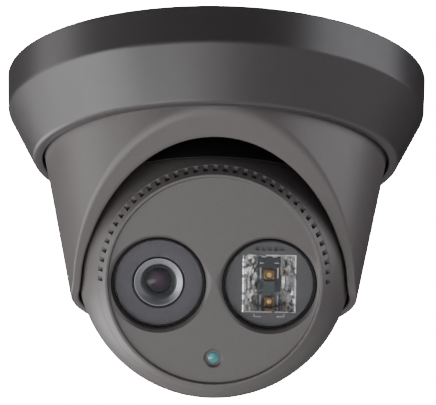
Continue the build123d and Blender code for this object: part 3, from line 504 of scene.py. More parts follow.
def lock_screw_hole():
    """Flared hole at the back of the ring, drawn along +Z and laid along +Y."""
    hole_r = 1.45
    wall = RING_R - 0.2
    outline = rounded([
        (0, wall - 4.0, 0), (hole_r, wall - 4.0, 0), (hole_r, wall - 0.5, 0.4),
        (hole_r + 0.7, wall + 0.4, 0), (0, wall + 0.4, 0),
    ], closed=False)
    lay = Matrix.Translation((0, 0, LOCK_SCREW_Z)) @ Matrix.Rotation(-pi / 2, 4, "X")
    return lathe("lock_screw_cutter", outline, lay, segments=32, closed=False)


ring = weighted(carve(trim_ring(), lock_screw_hole()))
place_piece(ring, SHADED_RING_PAINT, "trim", "trim_ring")
print("ring faces", len(ring.data.polygons))

# %% [markdown]
# ## Housing
#
# The housing is a tapered shell cut open by a slanting plane, and the cut runs into a level rim through a
# wide curve. At each angle round the axis, the height of the rim is where the wall meets that cut, so it
# is found by halving an interval, for all the angles at once. The lip between the outer and the inner
# wall is then an arc, a flat and a second, wider arc, each a share of the wall's width.

# %% The height of the rim
HOUSING_SKIRT = 12.0
OPENING_SET = 21.5
OPENING_CORNER_R = 12.0
FLANGE_LOW = -22.3
FLANGE_TOP = -19.8
BORE_R = BALL_R + BALL_GAP
BORE_TAPER = 0.09
SHELF_W = 4.2
SPIGOT_WALL = 2.0
SPIGOT_TOP = -12.5


def bore_r(z):
    """Inner radius of the housing: a cone above the ball's centre, a ball-shaped cup below it."""
    below = np.minimum(z - BALL_CENTRE.z, 0)
    return np.where(z > BALL_CENTRE.z, BORE_R + BORE_TAPER * (z - BALL_CENTRE.z), np.sqrt(BORE_R**2 - below**2))


def cut_height(y):
    """Height of the opening's cut over a point at depth y: a 45-degree slope at the front, level at the
    back, and between them an arc that touches both."""
    low = BALL_CENTRE.z - HOUSING_SKIRT
    corner = HOUSING_SKIRT - OPENING_SET
    tangent = OPENING_CORNER_R * tan(pi / 8)
    arc = low + OPENING_CORNER_R - np.sqrt(np.maximum(OPENING_CORNER_R**2 - (y - corner - tangent) ** 2, 0))
    slope = low + corner - y
    return np.where(y < corner - tangent * cos(pi / 4), slope, np.where(y < corner + tangent, arc, low))


def rim_height(radius_at, angles):
    """Height at which the wall of the given radius meets the cut, by 48 halvings of an interval."""
    low = np.full_like(angles, BALL_CENTRE.z - HOUSING_SKIRT - 2.0)
    high = np.full_like(angles, FLANGE_LOW)
    for _ in range(48):
        middle = (low + high) / 2
        above = middle > cut_height(radius_at(middle) * np.sin(angles))
        high, low = np.where(above, middle, high), np.where(above, low, middle)
    return (low + high) / 2


# %% Skin the housing
LIP_OUT_SHARE = 0.2
LIP_IN_SHARE = 0.34
HOUSING_COLUMNS = 480


def arc_between(start, corner, end, steps):
    """Quadratic arc from start to end, pulled towards the corner: one row of points for each step."""
    t = np.linspace(0, 1, steps)[:, None, None]
    return (1 - t) ** 2 * start + 2 * t * (1 - t) * corner + t**2 * end


def housing():
    """Closed loops of points from the flange down the outer wall, round the lip, up the bore, and over the
    spigot back to the flange."""
    angles = np.arange(HOUSING_COLUMNS) * 2 * pi / HOUSING_COLUMNS

    def on_wall(radius_at, z):
        radius = radius_at(z)
        return np.stack((radius * np.cos(angles), radius * np.sin(angles), z), -1)

    def run(radius_at, start, end, steps):
        t = np.linspace(0, 1, steps)[:, None]
        heights = start + (end - start) * t
        return np.stack([on_wall(radius_at, row) for row in heights])

    def flat_ring(radius, z):
        return on_wall(lambda _: np.full_like(angles, radius), np.full_like(angles, z))

    outer_z, inner_z = rim_height(housing_r, angles), rim_height(bore_r, angles)
    outer, inner = on_wall(housing_r, outer_z), on_wall(bore_r, inner_z)
    across = inner - outer
    width = np.linalg.norm(across, axis=-1, keepdims=True)
    top = np.full_like(angles, FLANGE_LOW)
    round_out, round_in = LIP_OUT_SHARE * width, LIP_IN_SHARE * width
    outer_start = np.minimum(outer_z + round_out[:, 0], FLANGE_LOW - 0.3)
    inner_start = inner_z + round_in[:, 0]
    rows = [
        run(housing_r, top, outer_start, 24),
        arc_between(on_wall(housing_r, outer_start), outer, outer + across / width * round_out, 8)[1:],
        arc_between(inner - across / width * round_in, inner, on_wall(bore_r, inner_start), 10),
        run(bore_r, inner_start, top, 24)[1:],
    ]
    spigot_bore = BORE_R + BORE_TAPER * (FLANGE_LOW - BALL_CENTRE.z) + SHELF_W
    spigot_r = spigot_bore + SPIGOT_WALL
    for radius, z in (
        (spigot_bore, FLANGE_LOW), (spigot_bore, SPIGOT_TOP), (spigot_r, SPIGOT_TOP),
        (spigot_r, FLANGE_TOP), (FLANGE_R, FLANGE_TOP), (FLANGE_R, FLANGE_LOW),
    ):
        rows.append(flat_ring(radius, z)[None])
    grid = np.concatenate(rows)
    faces = grid_faces(len(grid), len(angles), wrap_rows=True)
    return new_object("housing_shell", grid.reshape(-1, 3), faces)


shell = weighted(housing())
place_piece(shell, HOUSING_PAINT, "turret", "housing")
print("housing faces", len(shell.data.polygons))

# %% [markdown]
# ## Ball shells
#
# Both half shells are turned about the line of sight. Their outlines follow the ball, and turn inwards at
# the gimbal ring's groove and at the seam of the face cover with a small radius.

# %% Turn the two shells
JOINT_Z = 2.9
FACE_RIM = BALL_R - 15.1
FACE_SEAM = FACE_RIM - 3.1
SEAM_GAP = 0.12
SEAM_LAND = 1.5
SHELL_BORE_R = 36.8


def sphere_r(z):
    """Radius of the ball's section at height z along the line of sight."""
    return sqrt(BALL_R**2 - z**2)


def band(name, z_low, z_high, inner_low, inner_high, edge):
    """Part of the ball between two heights, closed inside by a straight wall."""
    arc = ball_arc(z_low, z_high, BALL_R, 40)
    corners = [(r, z, 0) for r, z in arc[1:-1]]
    outline = rounded([
        (*arc[0], edge), *corners, (*arc[-1], edge), (inner_high, z_high, 0.2), (inner_low, z_low, 0.2),
    ])
    return lathe(name, outline, BALL_FRAME)


front = band("ball_front", JOINT_Z + 0.05, FACE_SEAM, SHELL_BORE_R, sphere_r(FACE_SEAM) - SEAM_LAND, 0.18)
place_piece(weighted(front), BALL_PAINT, "eyeball", "front_shell")
rear = bevelled(merged_copy("rear_shell", "ball_rear"), 0.12)
place_piece(rear, BALL_PAINT, "eyeball", "rear_shell")
gimbal = merged_copy("gimbal_ring", "gimbal_band")
place_piece(bevelled(gimbal, 0.1), BLACK_PLASTIC, "cradle", "gimbal_ring")
print("shells made")

# %% [markdown]
# ## Face cover
#
# The cover carries on the ball's curve up to its rim, steps down to a flat face, and has a row of small
# notches over its upper half, where a thumb turns the ball. The two window holes and the light sensor's
# hole are cut with turned cutters whose mouths flare, so that each hole gets its rounded edge from the
# cut itself.

# %% Turn and cut the cover
FACE_PLANE = FACE_RIM - 0.9
FACE_R = sphere_r(FACE_RIM) - 0.9
PLUG_BACK = FACE_SEAM - 1.6
WINDOW_X = 16.2
WINDOW_HOLE_R = 13.66
WINDOW_FRONT = FACE_PLANE - 0.5
WINDOW_BACK = WINDOW_FRONT - 1.1
WINDOW_SEAT = WINDOW_BACK - 0.35
WINDOW_LEDGE_R = WINDOW_HOLE_R - 0.85
LIGHT_Y = -23.4
LIGHT_R = 2.3
NOTCH_PITCH = 5.0
NOTCH_COUNT = 37
NOTCH_IN, NOTCH_OUT = 1.6, 1.0
NOTCH_HALF_W = 0.65
NOTCH_LOW, NOTCH_HIGH = FACE_SEAM - 0.2, FACE_SEAM + 2.1


def cover_blank():
    """The cover before it is cut: the ball's curve, the step down to the face, and the plug behind it."""
    seam = FACE_SEAM + SEAM_GAP
    arc = ball_arc(seam, FACE_RIM, BALL_R, 14)
    corners = [(r, z, 0) for r, z in arc[1:-1]]
    plug_r = sphere_r(FACE_SEAM) - SEAM_LAND
    outline = rounded([
        (*arc[0], 0.2), *corners, (*arc[-1], 0.5), (FACE_R + 0.15, FACE_RIM, 0.25), (FACE_R - 0.2, FACE_PLANE, 0.35),
        (0, FACE_PLANE, 0), (0, PLUG_BACK, 0), (plug_r, PLUG_BACK, 0), (plug_r, seam, 0),
    ])
    return lathe("face_cover_shell", outline, BALL_FRAME)


def flared_cutter(x, y, hole_r, flare, floor, ledge_r):
    """Stepped hole: the ledge's bore below the floor, the hole above it, and a mouth that flares to
    hole_r + flare at the face."""
    mouth = rounded([
        (0, PLUG_BACK - 1.0, 0), (ledge_r, PLUG_BACK - 1.0, 0), (ledge_r, floor, 0), (hole_r, floor, 0),
        (hole_r, FACE_PLANE - flare, flare * 1.2), (hole_r + flare, FACE_PLANE, flare * 0.5),
        (hole_r + flare + 1.0, FACE_PLANE + 0.35, 0), (0, FACE_PLANE + 0.35, 0),
    ], closed=False)
    return lathe("cutter", mouth, BALL_FRAME, x, y, 160, closed=False)


def notch_cutter(angle):
    """Small block across the seam, with its long side along the line of sight."""
    seam_r = sphere_r(FACE_SEAM)
    across, along, up = (-NOTCH_IN, NOTCH_OUT), (-NOTCH_HALF_W, NOTCH_HALF_W), (NOTCH_LOW, NOTCH_HIGH)
    u, v, w = np.meshgrid(across, along, up, indexing="ij")
    points = np.stack((seam_r + u, v, w), -1).reshape(-1, 3)
    faces = [(0, 1, 3, 2), (4, 6, 7, 5), (0, 4, 5, 1), (2, 3, 7, 6), (0, 2, 6, 4), (1, 5, 7, 3)]
    turn = BALL_FRAME @ Matrix.Rotation(radians(angle), 4, "Z")
    return new_object("notch", points, faces, turn)


def joined(objects):
    """One object out of many."""
    with bpy.context.temp_override(active_object=objects[0], selected_editable_objects=objects):
        bpy.ops.object.join()
    return objects[0]


cover = carve(
    cover_blank(),
    flared_cutter(-WINDOW_X, WINDOW_Y, WINDOW_HOLE_R, 1.0, WINDOW_SEAT, WINDOW_LEDGE_R),
    flared_cutter(WINDOW_X, WINDOW_Y, WINDOW_HOLE_R, 1.0, WINDOW_SEAT, WINDOW_LEDGE_R),
    flared_cutter(0, LIGHT_Y, LIGHT_R, 0.6, FACE_PLANE - 0.9, 1.7),
    joined([notch_cutter(i * NOTCH_PITCH) for i in range(NOTCH_COUNT)]),
)
place_piece(weighted(cover), BALL_PAINT, "eyeball", "face_cover")
print("cover faces", len(cover.data.polygons))

# %% [markdown]
# ## Windows
#
# Each window is a flat pane in a black rubber seal. A pane this thin shows mostly what is behind it, so
# its material is nearly clear, with a faint tint and a sharp surface reflection. Alpha does this without
# the noise of refraction.

# %% Panes and seals
def pane_glass(name, colour, alpha):
    shader = Shader(name, Specular_IOR_Level=0.6)
    film = shader.noise(9.0, 3.0)
    shader.set(Base_Color=colour, Roughness=0.04 + 0.05 * film, Alpha=alpha + 0.03 * (film - 0.5))
    return shader.material


CLEAR_PANE = pane_glass("clear_pane", (0.05, 0.05, 0.06), 0.12)
SMOKED_PANE = pane_glass("smoked_pane", (0.03, 0.028, 0.034), 0.16)


def pane(name, x):
    radius = WINDOW_HOLE_R - 0.55
    outline = rounded([
        (0, WINDOW_BACK, 0), (radius, WINDOW_BACK, 0.1), (radius, WINDOW_FRONT, 0.25), (0, WINDOW_FRONT, 0),
    ], closed=False)
    return lathe(name, outline, WINDOW_FRAME, x, 0, 160, closed=False)


def seal(name, x):
    inner = WINDOW_HOLE_R - 0.5
    outline = rounded([
        (WINDOW_HOLE_R - 0.03, WINDOW_SEAT, 0), (WINDOW_HOLE_R - 0.03, WINDOW_FRONT - 0.05, 0.2),
        (inner, WINDOW_FRONT - 0.05, 0.2), (inner, WINDOW_SEAT + 0.3, 0),
        (WINDOW_LEDGE_R, WINDOW_SEAT + 0.3, 0.1), (WINDOW_LEDGE_R, WINDOW_SEAT, 0),
    ])
    return lathe(name, outline, WINDOW_FRAME, x, 0, 160)


for side, node, glass in ((-1, "lens_window", CLEAR_PANE), (1, "ir_window", SMOKED_PANE)):
    place_piece(pane(node + "_pane", side * WINDOW_X), glass, "eyeball", node)
    place_piece(seal(node + "_ring", side * WINDOW_X), RUBBER, "eyeball", node + "_seal")

# %% [markdown]
# ## Lens
#
# Behind the left window a grained ring surrounds the lens. The barrel's mouth is a shallow cone of
# blasted grey aluminium; one highlight on it does much to make the lens look real. The front element is
# domed, and the purple reflection of its coating is painted into the glass's colour.

# %% Surround, barrel and glass
def surround_grain(name):
    shader = Shader(name, Specular_IOR_Level=0.4)
    specks = shader.noise(0.35, 3.0, 0.7).between(0.42, 0.66)
    shader.set(Base_Color=shader.blend(specks, (0.13, 0.122, 0.145), (0.26, 0.245, 0.28)))
    shader.set(Roughness=0.5 + 0.2 * specks)
    shader.bump(specks, 0.03, 0.7)
    return shader.material


def glass_with_painted_reflection(name):
    """Dark glass with a painted purple reflection of its coating towards its middle, by distance from the lens's
    axis.
    """
    shader = Shader(name, Roughness=0.08, Coat_Weight=0.25, Coat_Roughness=0.03, Specular_IOR_Level=0.25)
    axis_point = (WINDOW_FRAME @ Vector((-WINDOW_X, 0, BARREL_FRONT - 3.0))) * MM
    apart = shader.node("ShaderNodeVectorMath", {"operation": "DISTANCE"}, shader.place, tuple(axis_point), output=1)
    rim = apart.between(0.4 * MM, 3.6 * MM)
    # Painted reflection: the coating's purple is painted into the base colour, strongest on the axis.
    shader.set(Base_Color=shader.blend(rim, (0.1, 0.03, 0.085), (0.009, 0.007, 0.011)))
    return shader.material


BARREL_FRONT = WINDOW_SEAT - 0.5
BARREL_BACK = BARREL_FRONT - 14.3
THROAT = BARREL_FRONT - 2.2
BARREL_MOUTH_R, BARREL_BODY_R, BARREL_BORE_R, THROAT_R = 7.15, 6.0, 3.6, 4.5
BARREL_LIP = 2.6
SURROUND_PLASTIC = surround_grain("surround_grain")
BARREL_METAL = metal("blasted_aluminium", (0.6, 0.62, 0.66), 0.36, size=0.3, depth=0.006)
LENS_GLASS = glass_with_painted_reflection("lens_with_painted_reflection")


def lens_surround():
    front = WINDOW_SEAT - 0.1
    outline = rounded([
        (WINDOW_LEDGE_R - 0.05, front - 1.4, 0), (WINDOW_LEDGE_R - 0.05, front, 0.25),
        (7.75, front, 0.35), (7.6, front - 1.4, 0),
    ])
    return lathe("lens_surround_ring", outline, WINDOW_FRAME, -WINDOW_X, 0, 160)


def lens_barrel():
    outline = rounded([
        (THROAT_R, THROAT, 0.15), (5.35, BARREL_FRONT - 0.75, 0.3), (BARREL_MOUTH_R - 0.2, BARREL_FRONT, 0.3),
        (BARREL_MOUTH_R, BARREL_FRONT, 0.1), (BARREL_MOUTH_R, BARREL_FRONT - BARREL_LIP, 0.1),
        (BARREL_BODY_R, BARREL_FRONT - BARREL_LIP, 0.1), (BARREL_BODY_R, BARREL_BACK, 0.2),
        (BARREL_BORE_R, BARREL_BACK, 0.1), (BARREL_BORE_R, THROAT - 2.4, 0), (THROAT_R, THROAT - 2.4, 0),
    ])
    return lathe("lens_barrel_turned", outline, WINDOW_FRAME, -WINDOW_X, 0, 128)


def retaining_ring():
    """Thin brown-black ring that holds the front element, in the barrel's throat."""
    outline = rounded([
        (4.48, THROAT - 0.5, 0), (4.48, THROAT + 0.25, 0.1), (3.95, THROAT + 0.1, 0.1), (3.8, THROAT - 0.5, 0),
    ])
    return lathe("front_lens_retainer", outline, WINDOW_FRAME, -WINDOW_X, 0, 96)


def dome(name, radius, edge_z, rise, back_z, x):
    """Disc whose front is a spherical cap: the cap's radius comes from its chord and its rise."""
    cap_r = (radius**2 + rise**2) / (2 * rise)
    r = np.linspace(0, radius, 24)
    z = edge_z + rise - cap_r + np.sqrt(cap_r**2 - r**2)
    outline = np.concatenate((np.stack((r, z), -1), ((radius, back_z), (0.0, back_z))))
    return lathe(name, outline, WINDOW_FRAME, x, 0, 96, closed=False)


place_piece(lens_surround(), SURROUND_PLASTIC, "eyeball", "lens_surround")
place_piece(lens_barrel(), BARREL_METAL, "eyeball", "lens_barrel")
front_glass = dome("front_lens_glass", 4.4, THROAT - 0.65, 1.0, THROAT - 2.3, -WINDOW_X)
place_piece(front_glass, LENS_GLASS, "eyeball", "front_lens")
place_piece(retaining_ring(), BLACK_PLASTIC, "eyeball", finish="black_plastic")
print("lens made")

# %% [markdown]
# ## Infrared lamp
#
# Two infrared chips sit at the bottom of a trough between two mirrored walls. The walls are faceted, so
# that they break what they reflect into bright and dark patches: each wall is a grid of flat cells over
# shallow pyramids, and each cell is tilted a little at random.

# %% Faceted reflector
OPTIC_W, OPTIC_L = 15.8, 17.4
LED_PLACES = (-6.56, 1.55)
OPTIC_FRONT = WINDOW_SEAT - 0.2
LAMP_FRONT = OPTIC_FRONT - 5.5
CELLS_ALONG = 14
CELLS_DOWN = 9
FACET_DEPTH = 0.2
TROUGH_HALF_W = 3.3


def mirror(name):
    """Vacuum-metallised plastic: bright, with a painted dark reflection on some patches, from random Voronoi cells.
    """
    shader = Shader(name, Metallic=0.8, Specular_IOR_Level=0.9)
    cell = shader.node("ShaderNodeTexVoronoi", {}, Vector=shader.place, Scale=1.0 / (1.2 * MM), output=1)
    # Painted reflection: random cells are darkened, as facets that would mirror the dark room.
    shader.set(Base_Color=shader.blend(cell.between(0.25, 0.42), (0.25, 0.25, 0.26), (1.0, 1.0, 1.0)))
    shader.set(Roughness=0.13 + 0.16 * shader.noise(0.8, 3.0))
    return shader.material


REFLECTOR_MIRROR = mirror("metallised_reflector")


def rectangle_loop(half_x, half_y):
    """Points round a rectangle, the same number on each side, starting at the low corner."""
    t = np.linspace(-1, 1, CELLS_ALONG, endpoint=False)
    one = np.ones_like(t)
    x = np.concatenate((t, one, -t, -one)) * half_x
    y = np.concatenate((-one, t, one, -t)) * half_y
    return np.stack((x, y), -1)


def facets(u, v):
    """Height of the mirror's pattern at u across the wall and v along it: a pyramid in each outer third,
    1 - max(|2u - 1|, |distance from the third's middle|), and a sunk panel in the middle third."""
    away = np.abs(np.abs(v) - 2 / 3) * 3
    pyramid = 1 - np.maximum(np.abs(2 * u - 1), away)
    panel = -0.55 * ((np.abs(2 * u - 1) < 0.75) & (np.abs(v) < 0.27))
    return np.where(np.abs(v) > 1 / 3, np.maximum(pyramid, 0), panel)


def reflector():
    """Trough with an outer frame, a thin lip and four walls; only the two long walls carry facets."""
    mouth_x, mouth_y = OPTIC_W / 2 - 0.45, OPTIC_L / 2 - 0.45
    mouth, throat = rectangle_loop(mouth_x, mouth_y), rectangle_loop(TROUGH_HALF_W, mouth_y - 0.15)
    outer = rectangle_loop(OPTIC_W / 2, OPTIC_L / 2)
    low, high = LAMP_FRONT + 0.05, OPTIC_FRONT
    u = np.linspace(0, 1, CELLS_DOWN + 1)[:, None]
    x = mouth[:, 0] + (throat[:, 0] - mouth[:, 0]) * u
    y = mouth[:, 1] + (throat[:, 1] - mouth[:, 1]) * u
    side = np.abs(mouth[:, 0]) > mouth_x - 1e-6
    uneven = np.random.default_rng(4).uniform(-1, 1, x.shape) * (np.abs(2 * u - 1) < 0.99)
    depth = np.where(side, 0.5 * facets(u, y / mouth_y) + FACET_DEPTH * uneven, 0)
    x = x - np.sign(x) * depth
    z = high + (low - high) * u + 0 * x
    wall = np.stack((x, y, z), -1)

    def level(loop, height):
        return np.concatenate((loop, np.full((len(loop), 1), height)), -1)[None]

    lip = rectangle_loop(mouth_x + 0.12, mouth_y + 0.12)
    top = np.concatenate((level(outer, low), level(outer, high), level(lip, high + 0.06)))
    grid = np.concatenate((top, wall))
    grid[..., 0] += WINDOW_X
    faces = grid_faces(len(grid), grid.shape[1], wrap_rows=True)
    return new_object("reflector_trough", grid.reshape(-1, 3), faces, WINDOW_FRAME, 4.0)


place_piece(reflector(), REFLECTOR_MIRROR, "eyeball", "ir_reflector")

# %% [markdown]
# The lamp board carries the two chips. Each chip is a small package with a round cup, and the emitting
# die sits in the cup. Bright pads lie beside each of them.

# %% Lamp board, chips and pads
def box_mesh(name, width, length, low, high, x, y, edge):
    """Block with its corners rounded in plan, carried upwards: a rounded rectangle on three levels."""
    a, b = width / 2, length / 2
    plan = rounded([(-a, -b, edge), (a, -b, edge), (a, b, edge), (-a, b, edge)])
    lip = min(edge, (high - low) / 2) * 0.5
    scale = 1 - lip / min(a, b)
    middle = np.zeros((1, 2))
    levels = ((middle, low), (plan, low), (plan, high - lip), (plan * scale, high), (middle, high))
    rows = [np.concatenate((np.broadcast_to(loop, plan.shape), np.full((len(plan), 1), z)), -1) for loop, z in levels]
    grid = np.stack(rows)
    grid[..., 0] += x
    grid[..., 1] += y
    return new_object(name, grid.reshape(-1, 3), grid_faces(len(grid), len(plan)), WINDOW_FRAME)


def gilded(name, colour, roughness):
    return metal(name, colour, roughness, size=0.5, depth=0.004)


GOLD_PACKAGE = gilded("gold_lead_frame", (0.6, 0.38, 0.14), 0.3)
DIE = gilded("emitting_die", (0.9, 0.68, 0.34), 0.2)
PAD_METAL = gilded("tinned_pad", (0.66, 0.67, 0.68), 0.35)
LED_LOW = LAMP_FRONT + 0.05
LED_TOP = LED_LOW + 1.0
CUP_FLOOR = LED_TOP - 0.45
CHIP_SIDE, DIE_SIDE = 2.8, 1.1

for i, y in enumerate(LED_PLACES, 1):
    chip = box_mesh(f"lamp_chip_{i}", CHIP_SIDE, CHIP_SIDE, LED_LOW, LED_TOP, WINDOW_X, y, 0.3)
    cup = rounded([
        (0, CUP_FLOOR, 0), (0.95, CUP_FLOOR, 0), (1.45, LED_TOP + 0.1, 0), (0, LED_TOP + 0.1, 0),
    ], closed=False)
    carve(chip, lathe("cup", cup, WINDOW_FRAME, WINDOW_X, y, 48, closed=False))
    place_piece(chip, GOLD_PACKAGE, "eyeball", f"ir_led_{i}")
    die = box_mesh(f"lamp_die_{i}", DIE_SIDE, DIE_SIDE, CUP_FLOOR - 0.01, LED_TOP - 0.2, WINDOW_X, y, 0.06)
    place_piece(die, DIE, "eyeball", finish="led_package")

plate = lathe("lamp_board_disc", rounded([
    (0, LAMP_FRONT - 1.2, 0), (12.5, LAMP_FRONT - 1.2, 0.1), (12.5, LAMP_FRONT, 0.1), (0, LAMP_FRONT, 0),
], closed=False), WINDOW_FRAME, WINDOW_X, 0, 128, closed=False)
place_piece(plate, BOARD_WHITE, "eyeball", "ir_board")
pads = [
    box_mesh("pad", w, l, LAMP_FRONT - 0.05, LAMP_FRONT + 0.12, WINDOW_X + x, y, 0.08)
    for x, y, w, l in (
        (-2.55, 1.9, 0.45, 3.2), (2.55, 1.9, 0.45, 3.2), (-2.55, -6.3, 0.45, 3.0), (2.55, -6.3, 0.45, 3.0),
        (-2.2, 4.9, 1.3, 0.35), (2.2, 4.9, 1.3, 0.35), (-1.6, 6.9, 1.2, 0.5), (1.6, 6.9, 1.2, 0.5),
    )
]
place_piece(joined(pads), PAD_METAL, "eyeball", finish="steel")
divider = box_mesh("divider", 3.4, 3.6, LAMP_FRONT - 0.05, LAMP_FRONT + 0.9, WINDOW_X, -2.1, 0.3)
place_piece(divider, moulded("divider_plastic", (0.13, 0.17, 0.18), 0.3), "eyeball", finish="board_white")

# %% [markdown]
# The mask is the grey disc round the trough. Its rectangular opening is a boolean cut, with the moulding
# marks that such a part carries: two small rings, a row of shallow pockets and two clips.

# %% Mask
MASK_PLASTIC = moulded("mask_plastic", (0.2, 0.2, 0.215), 0.42, 0.3, 0.012)
MASK_FRONT = WINDOW_SEAT - 0.1
POCKET_W, POCKET_L, POCKET_DEPTH, POCKET_Y = 1.15, 1.2, 0.75, 10.55
MARK_X = 10.2

mask = lathe("ir_mask_disc", rounded([
    (0, MASK_FRONT - 0.9, 0), (WINDOW_LEDGE_R - 0.05, MASK_FRONT - 0.9, 0), (WINDOW_LEDGE_R - 0.05, MASK_FRONT, 0.2),
    (0, MASK_FRONT, 0),
], closed=False), WINDOW_FRAME, WINDOW_X, 0, 160, closed=False)
cutters = [
    box_mesh("pocket", POCKET_W, POCKET_L, MASK_FRONT - POCKET_DEPTH, MASK_FRONT + 0.3, WINDOW_X + x, POCKET_Y, 0.1)
    for x in np.linspace(-3.6, 3.6, 5)
]
cutters.append(box_mesh("opening", OPTIC_W + 0.1, OPTIC_L + 0.1, MASK_FRONT - 2, MASK_FRONT + 2, WINDOW_X, 0, 0.05))
for x in (-MARK_X, MARK_X):
    low, high = MASK_FRONT - 0.2, MASK_FRONT + 0.2
    mark = rounded([(0.55, low, 0), (0.85, low, 0), (0.85, high, 0), (0.55, high, 0)])
    cutters.append(lathe("ring_mark", mark, WINDOW_FRAME, WINDOW_X + x, 0, 32))
carve(mask, *cutters)
place_piece(weighted(mask), MASK_PLASTIC, "eyeball", "ir_mask")
clips = [
    box_mesh("clip", w, l, MASK_FRONT - 0.3, MASK_FRONT + 0.12, WINDOW_X + x, y, 0.1)
    for x, y, w, l in (
        (-3.4, -9.9, 2.2, 0.35), (3.4, -9.9, 2.2, 0.35), (-4.4, -9.5, 0.35, 1.0), (4.4, -9.5, 0.35, 1.0),
    )
]
place_piece(joined(clips), PAD_METAL, "eyeball", finish="steel")

# %% [markdown]
# ## Light sensor
#
# A short rod of tinted acrylic leads daylight to a sensor behind the face. Its end is slightly domed.

# %% Light pipe
def tinted_acrylic(name):
    shader = Shader(name, Coat_Weight=1.0, Coat_Roughness=0.03)
    swirl = shader.noise(1.4, 2.0)
    shader.set(Base_Color=shader.blend(swirl, (0.02, 0.2, 0.22), (0.12, 0.5, 0.52)), Roughness=0.12 + 0.1 * swirl)
    return shader.material


LIGHT_FRONT = FACE_PLANE - 0.6
pipe = dome("light_pipe_rod", 1.65, LIGHT_FRONT - 0.35, 0.35, LIGHT_FRONT - 5.0, 0)
for vertex in pipe.data.vertices:
    vertex.co += UP * (LIGHT_Y - WINDOW_Y) * MM
place_piece(pipe, tinted_acrylic("tinted_acrylic"), "eyeball", "light_pipe")
print("lamp and light sensor made")

# %% [markdown]
# ## Everything else
#
# Parts that can be seen from above, from behind or through the gap round the ball get rounded edges. The
# rest sit inside the sealed ball and keep the model's mesh with a fitting material.

# %% Finishes by material slot
FINISHES = {
    "housing_paint": HOUSING_PAINT, "ring_paint": SHADED_RING_PAINT, "ball_paint": BALL_PAINT,
    "base_plastic": BASE_PLASTIC, "black_plastic": BLACK_PLASTIC, "bearing_plastic": ACETAL, "rubber": RUBBER,
    "steel": STEEL, "window_glass": CLEAR_PANE, "ir_window_glass": SMOKED_PANE, "lens_glass": LENS_GLASS,
    "surround_plastic": SURROUND_PLASTIC, "barrel_metal": BARREL_METAL, "filter_glass": CLEAR_PANE,
    "coil_copper": COPPER, "sensor_silicon": CERAMIC, "board_green": BOARD_GREEN, "board_white": BOARD_WHITE,
    "reflector_chrome": REFLECTOR_MIRROR, "led_package": GOLD_PACKAGE, "heat_sink_metal": SINK_METAL,
    "light_pipe_plastic": BLACK_PLASTIC, "chassis_metal": SHEET_METAL, "chip_plastic": CHIP,
    "pad_rubber": PAD_RUBBER, "socket_plastic": NYLON,
}
ROUNDED = {
    "mounting_base": 0.35, "base_gasket": 0.15, "pan_washer": 0.1, "lock_screw": 0.12, "trunnion_cap": 0.25,
    "cap_screw_1": 0.1, "cap_screw_2": 0.1, "cap_screw_3": 0.1, "shell_screw_1": 0.12, "shell_screw_2": 0.12,
    "shell_screw_3": 0.12, "cable_gland": 0.15, "gland_cap": 0.2,
}

for node, edge in ROUNDED.items():
    copy = bevelled(merged_copy(node, node + "_finished"), edge)
    place_piece(copy, FINISHES[SLOT_OF[node]], BODY_OF[node], node)

kept = [node for node, obj in NODES.items() if not obj.hide_render]
for node in kept:
    if not NODES[node].material_slots:
        NODES[node].data.materials.append(FINISHES[SLOT_OF[node]])
    for slot in NODES[node].material_slots:
        slot.material = FINISHES[SLOT_OF[node]]
print("nodes that keep the model's mesh:", ", ".join(kept))

# %% [markdown]
# ## Studio
#
# The camera hangs from a ceiling, so the picture is taken from below it. A white surround fills the
# background. The light is a ring of soft panels, strongest on the left and just below the horizon, with
# almost nothing in front, which leaves the middle of the ring's upright wall dark.

# %% Camera
CAMERA_DISTANCE = 0.9
CAMERA_FROM_BELOW = radians(17.47)
CAMERA_ROLL = radians(0.69)
TARGET = Vector((0.0, 0.0, -0.045))
AIM_RIGHT, AIM_UP = 0.00089, 0.00623
FOCAL_LENGTH = 246.8

back_to_camera = Vector((0, -cos(CAMERA_FROM_BELOW), -sin(CAMERA_FROM_BELOW)))
camera = bpy.data.objects.new("camera", bpy.data.cameras.new("camera"))
bpy.context.scene.collection.objects.link(camera)
eye = TARGET + back_to_camera * CAMERA_DISTANCE
aim = TARGET + Vector((AIM_RIGHT, 0, AIM_UP * cos(CAMERA_FROM_BELOW)))
looking = (aim - eye).to_track_quat("-Z", "Y").to_matrix().to_4x4()
camera.matrix_world = Matrix.Translation(eye) @ looking @ Matrix.Rotation(CAMERA_ROLL, 4, "Z")
camera.data.sensor_width = 36.0
camera.data.lens = FOCAL_LENGTH
camera.data.clip_end = 20.0
bpy.context.scene.camera = camera


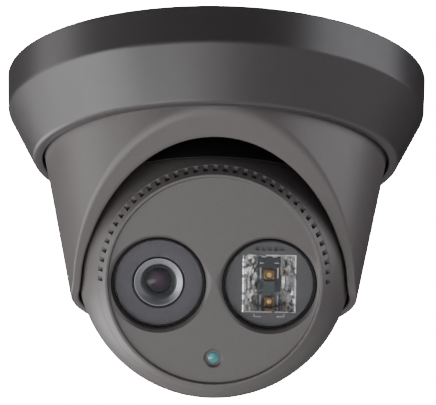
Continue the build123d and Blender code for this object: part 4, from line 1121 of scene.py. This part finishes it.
# %% World and lights
def studio_world(camera_white, below, above, right_share):
    """White behind the object for the camera. Its light is a dimmer gradient instead: one smooth step from
    below the horizon to above it, and another from the left to the right."""
    world = bpy.data.worlds.new("studio")
    world.use_nodes = True
    tree = world.node_tree
    new, link = tree.nodes.new, tree.links.new
    background = tree.nodes["Background"]
    background.inputs["Color"].default_value = (1, 1, 1, 1)
    path, coordinates, split = new("ShaderNodeLightPath"), new("ShaderNodeTexCoord"), new("ShaderNodeSeparateXYZ")
    link(coordinates.outputs["Generated"], split.inputs[0])

    def step(axis, low, high, start, end):
        ramp = new("ShaderNodeMapRange")
        ramp.interpolation_type = "SMOOTHSTEP"
        for key, value in {"From Min": low, "From Max": high, "To Min": start, "To Max": end}.items():
            ramp.inputs[key].default_value = value
        link(split.outputs[axis], ramp.inputs["Value"])
        return ramp.outputs["Result"]

    glow, mix = new("ShaderNodeMath"), new("ShaderNodeMix")
    glow.operation = "MULTIPLY"
    link(step("Z", -0.1, 0.2, below, above), glow.inputs[0])
    link(step("X", -0.2, 0.6, 1.0, right_share), glow.inputs[1])
    link(path.outputs["Is Camera Ray"], mix.inputs["Factor"])
    link(glow.outputs[0], mix.inputs["A"])
    mix.inputs["B"].default_value = camera_white
    link(mix.outputs[0], background.inputs["Strength"])
    bpy.context.scene.world = world


def panel(name, azimuth, height, power, colour=(1, 1, 1), size=0.6):
    """Square soft light that faces the object, placed by its angle round the object from the front, its
    angle above the horizon and its power."""
    turn, lift = radians(azimuth), radians(height)
    toward = Vector((sin(turn) * cos(lift), -cos(turn) * cos(lift), sin(lift)))
    light = bpy.data.lights.new(name, "AREA")
    light.size = size
    light.energy = power
    light.color = colour
    obj = bpy.data.objects.new(name, light)
    bpy.context.scene.collection.objects.link(obj)
    obj.location = CENTRE + PANEL_DISTANCE * toward
    obj.rotation_euler = (-toward).to_track_quat("-Z", "Y").to_euler()


CENTRE = Vector((0, 0, -0.05))
PANEL_DISTANCE = 1.1
COOL_WHITE = (0.97, 0.96, 1.0)
studio_world(40.0, 0.03, 0.0, 0.5)
panel("below", -38, -52, 4.5)
panel("top_rear", 180, 52, 5.0)
panel("front", -16, -34, 1.9, size=0.8)
panel("left_low", -65, -20, 3.9)
panel("left", -95, -20, 3.2)
panel("left_high", -95, 12, 1.8)
panel("left_rear", -130, -20, 3.6)
panel("right", 65, 12, 2.7, COOL_WHITE)
panel("right_high", 95, 12, 2.1, COOL_WHITE)

# %% [markdown]
# The floor is a pale table with a weak light inside, which also lifts the underside of the ball.

# %% Floor
FLOOR_GLOW = 0.26
FLOOR_SIZE, FLOOR_HEIGHT = 8.0, -0.9
bpy.ops.mesh.primitive_plane_add(size=FLOOR_SIZE, location=(0, 0, FLOOR_HEIGHT))
floor = bpy.context.object
floor.name = "floor"
pale = Shader("pale_floor", Roughness=0.8, Emission_Color=(1.0, 0.99, 0.98), Emission_Strength=FLOOR_GLOW)
pale.set(Base_Color=pale.blend(pale.noise(120.0, 3.0), (0.72, 0.72, 0.71), (0.8, 0.8, 0.79)))
floor.data.materials.append(pale.material)
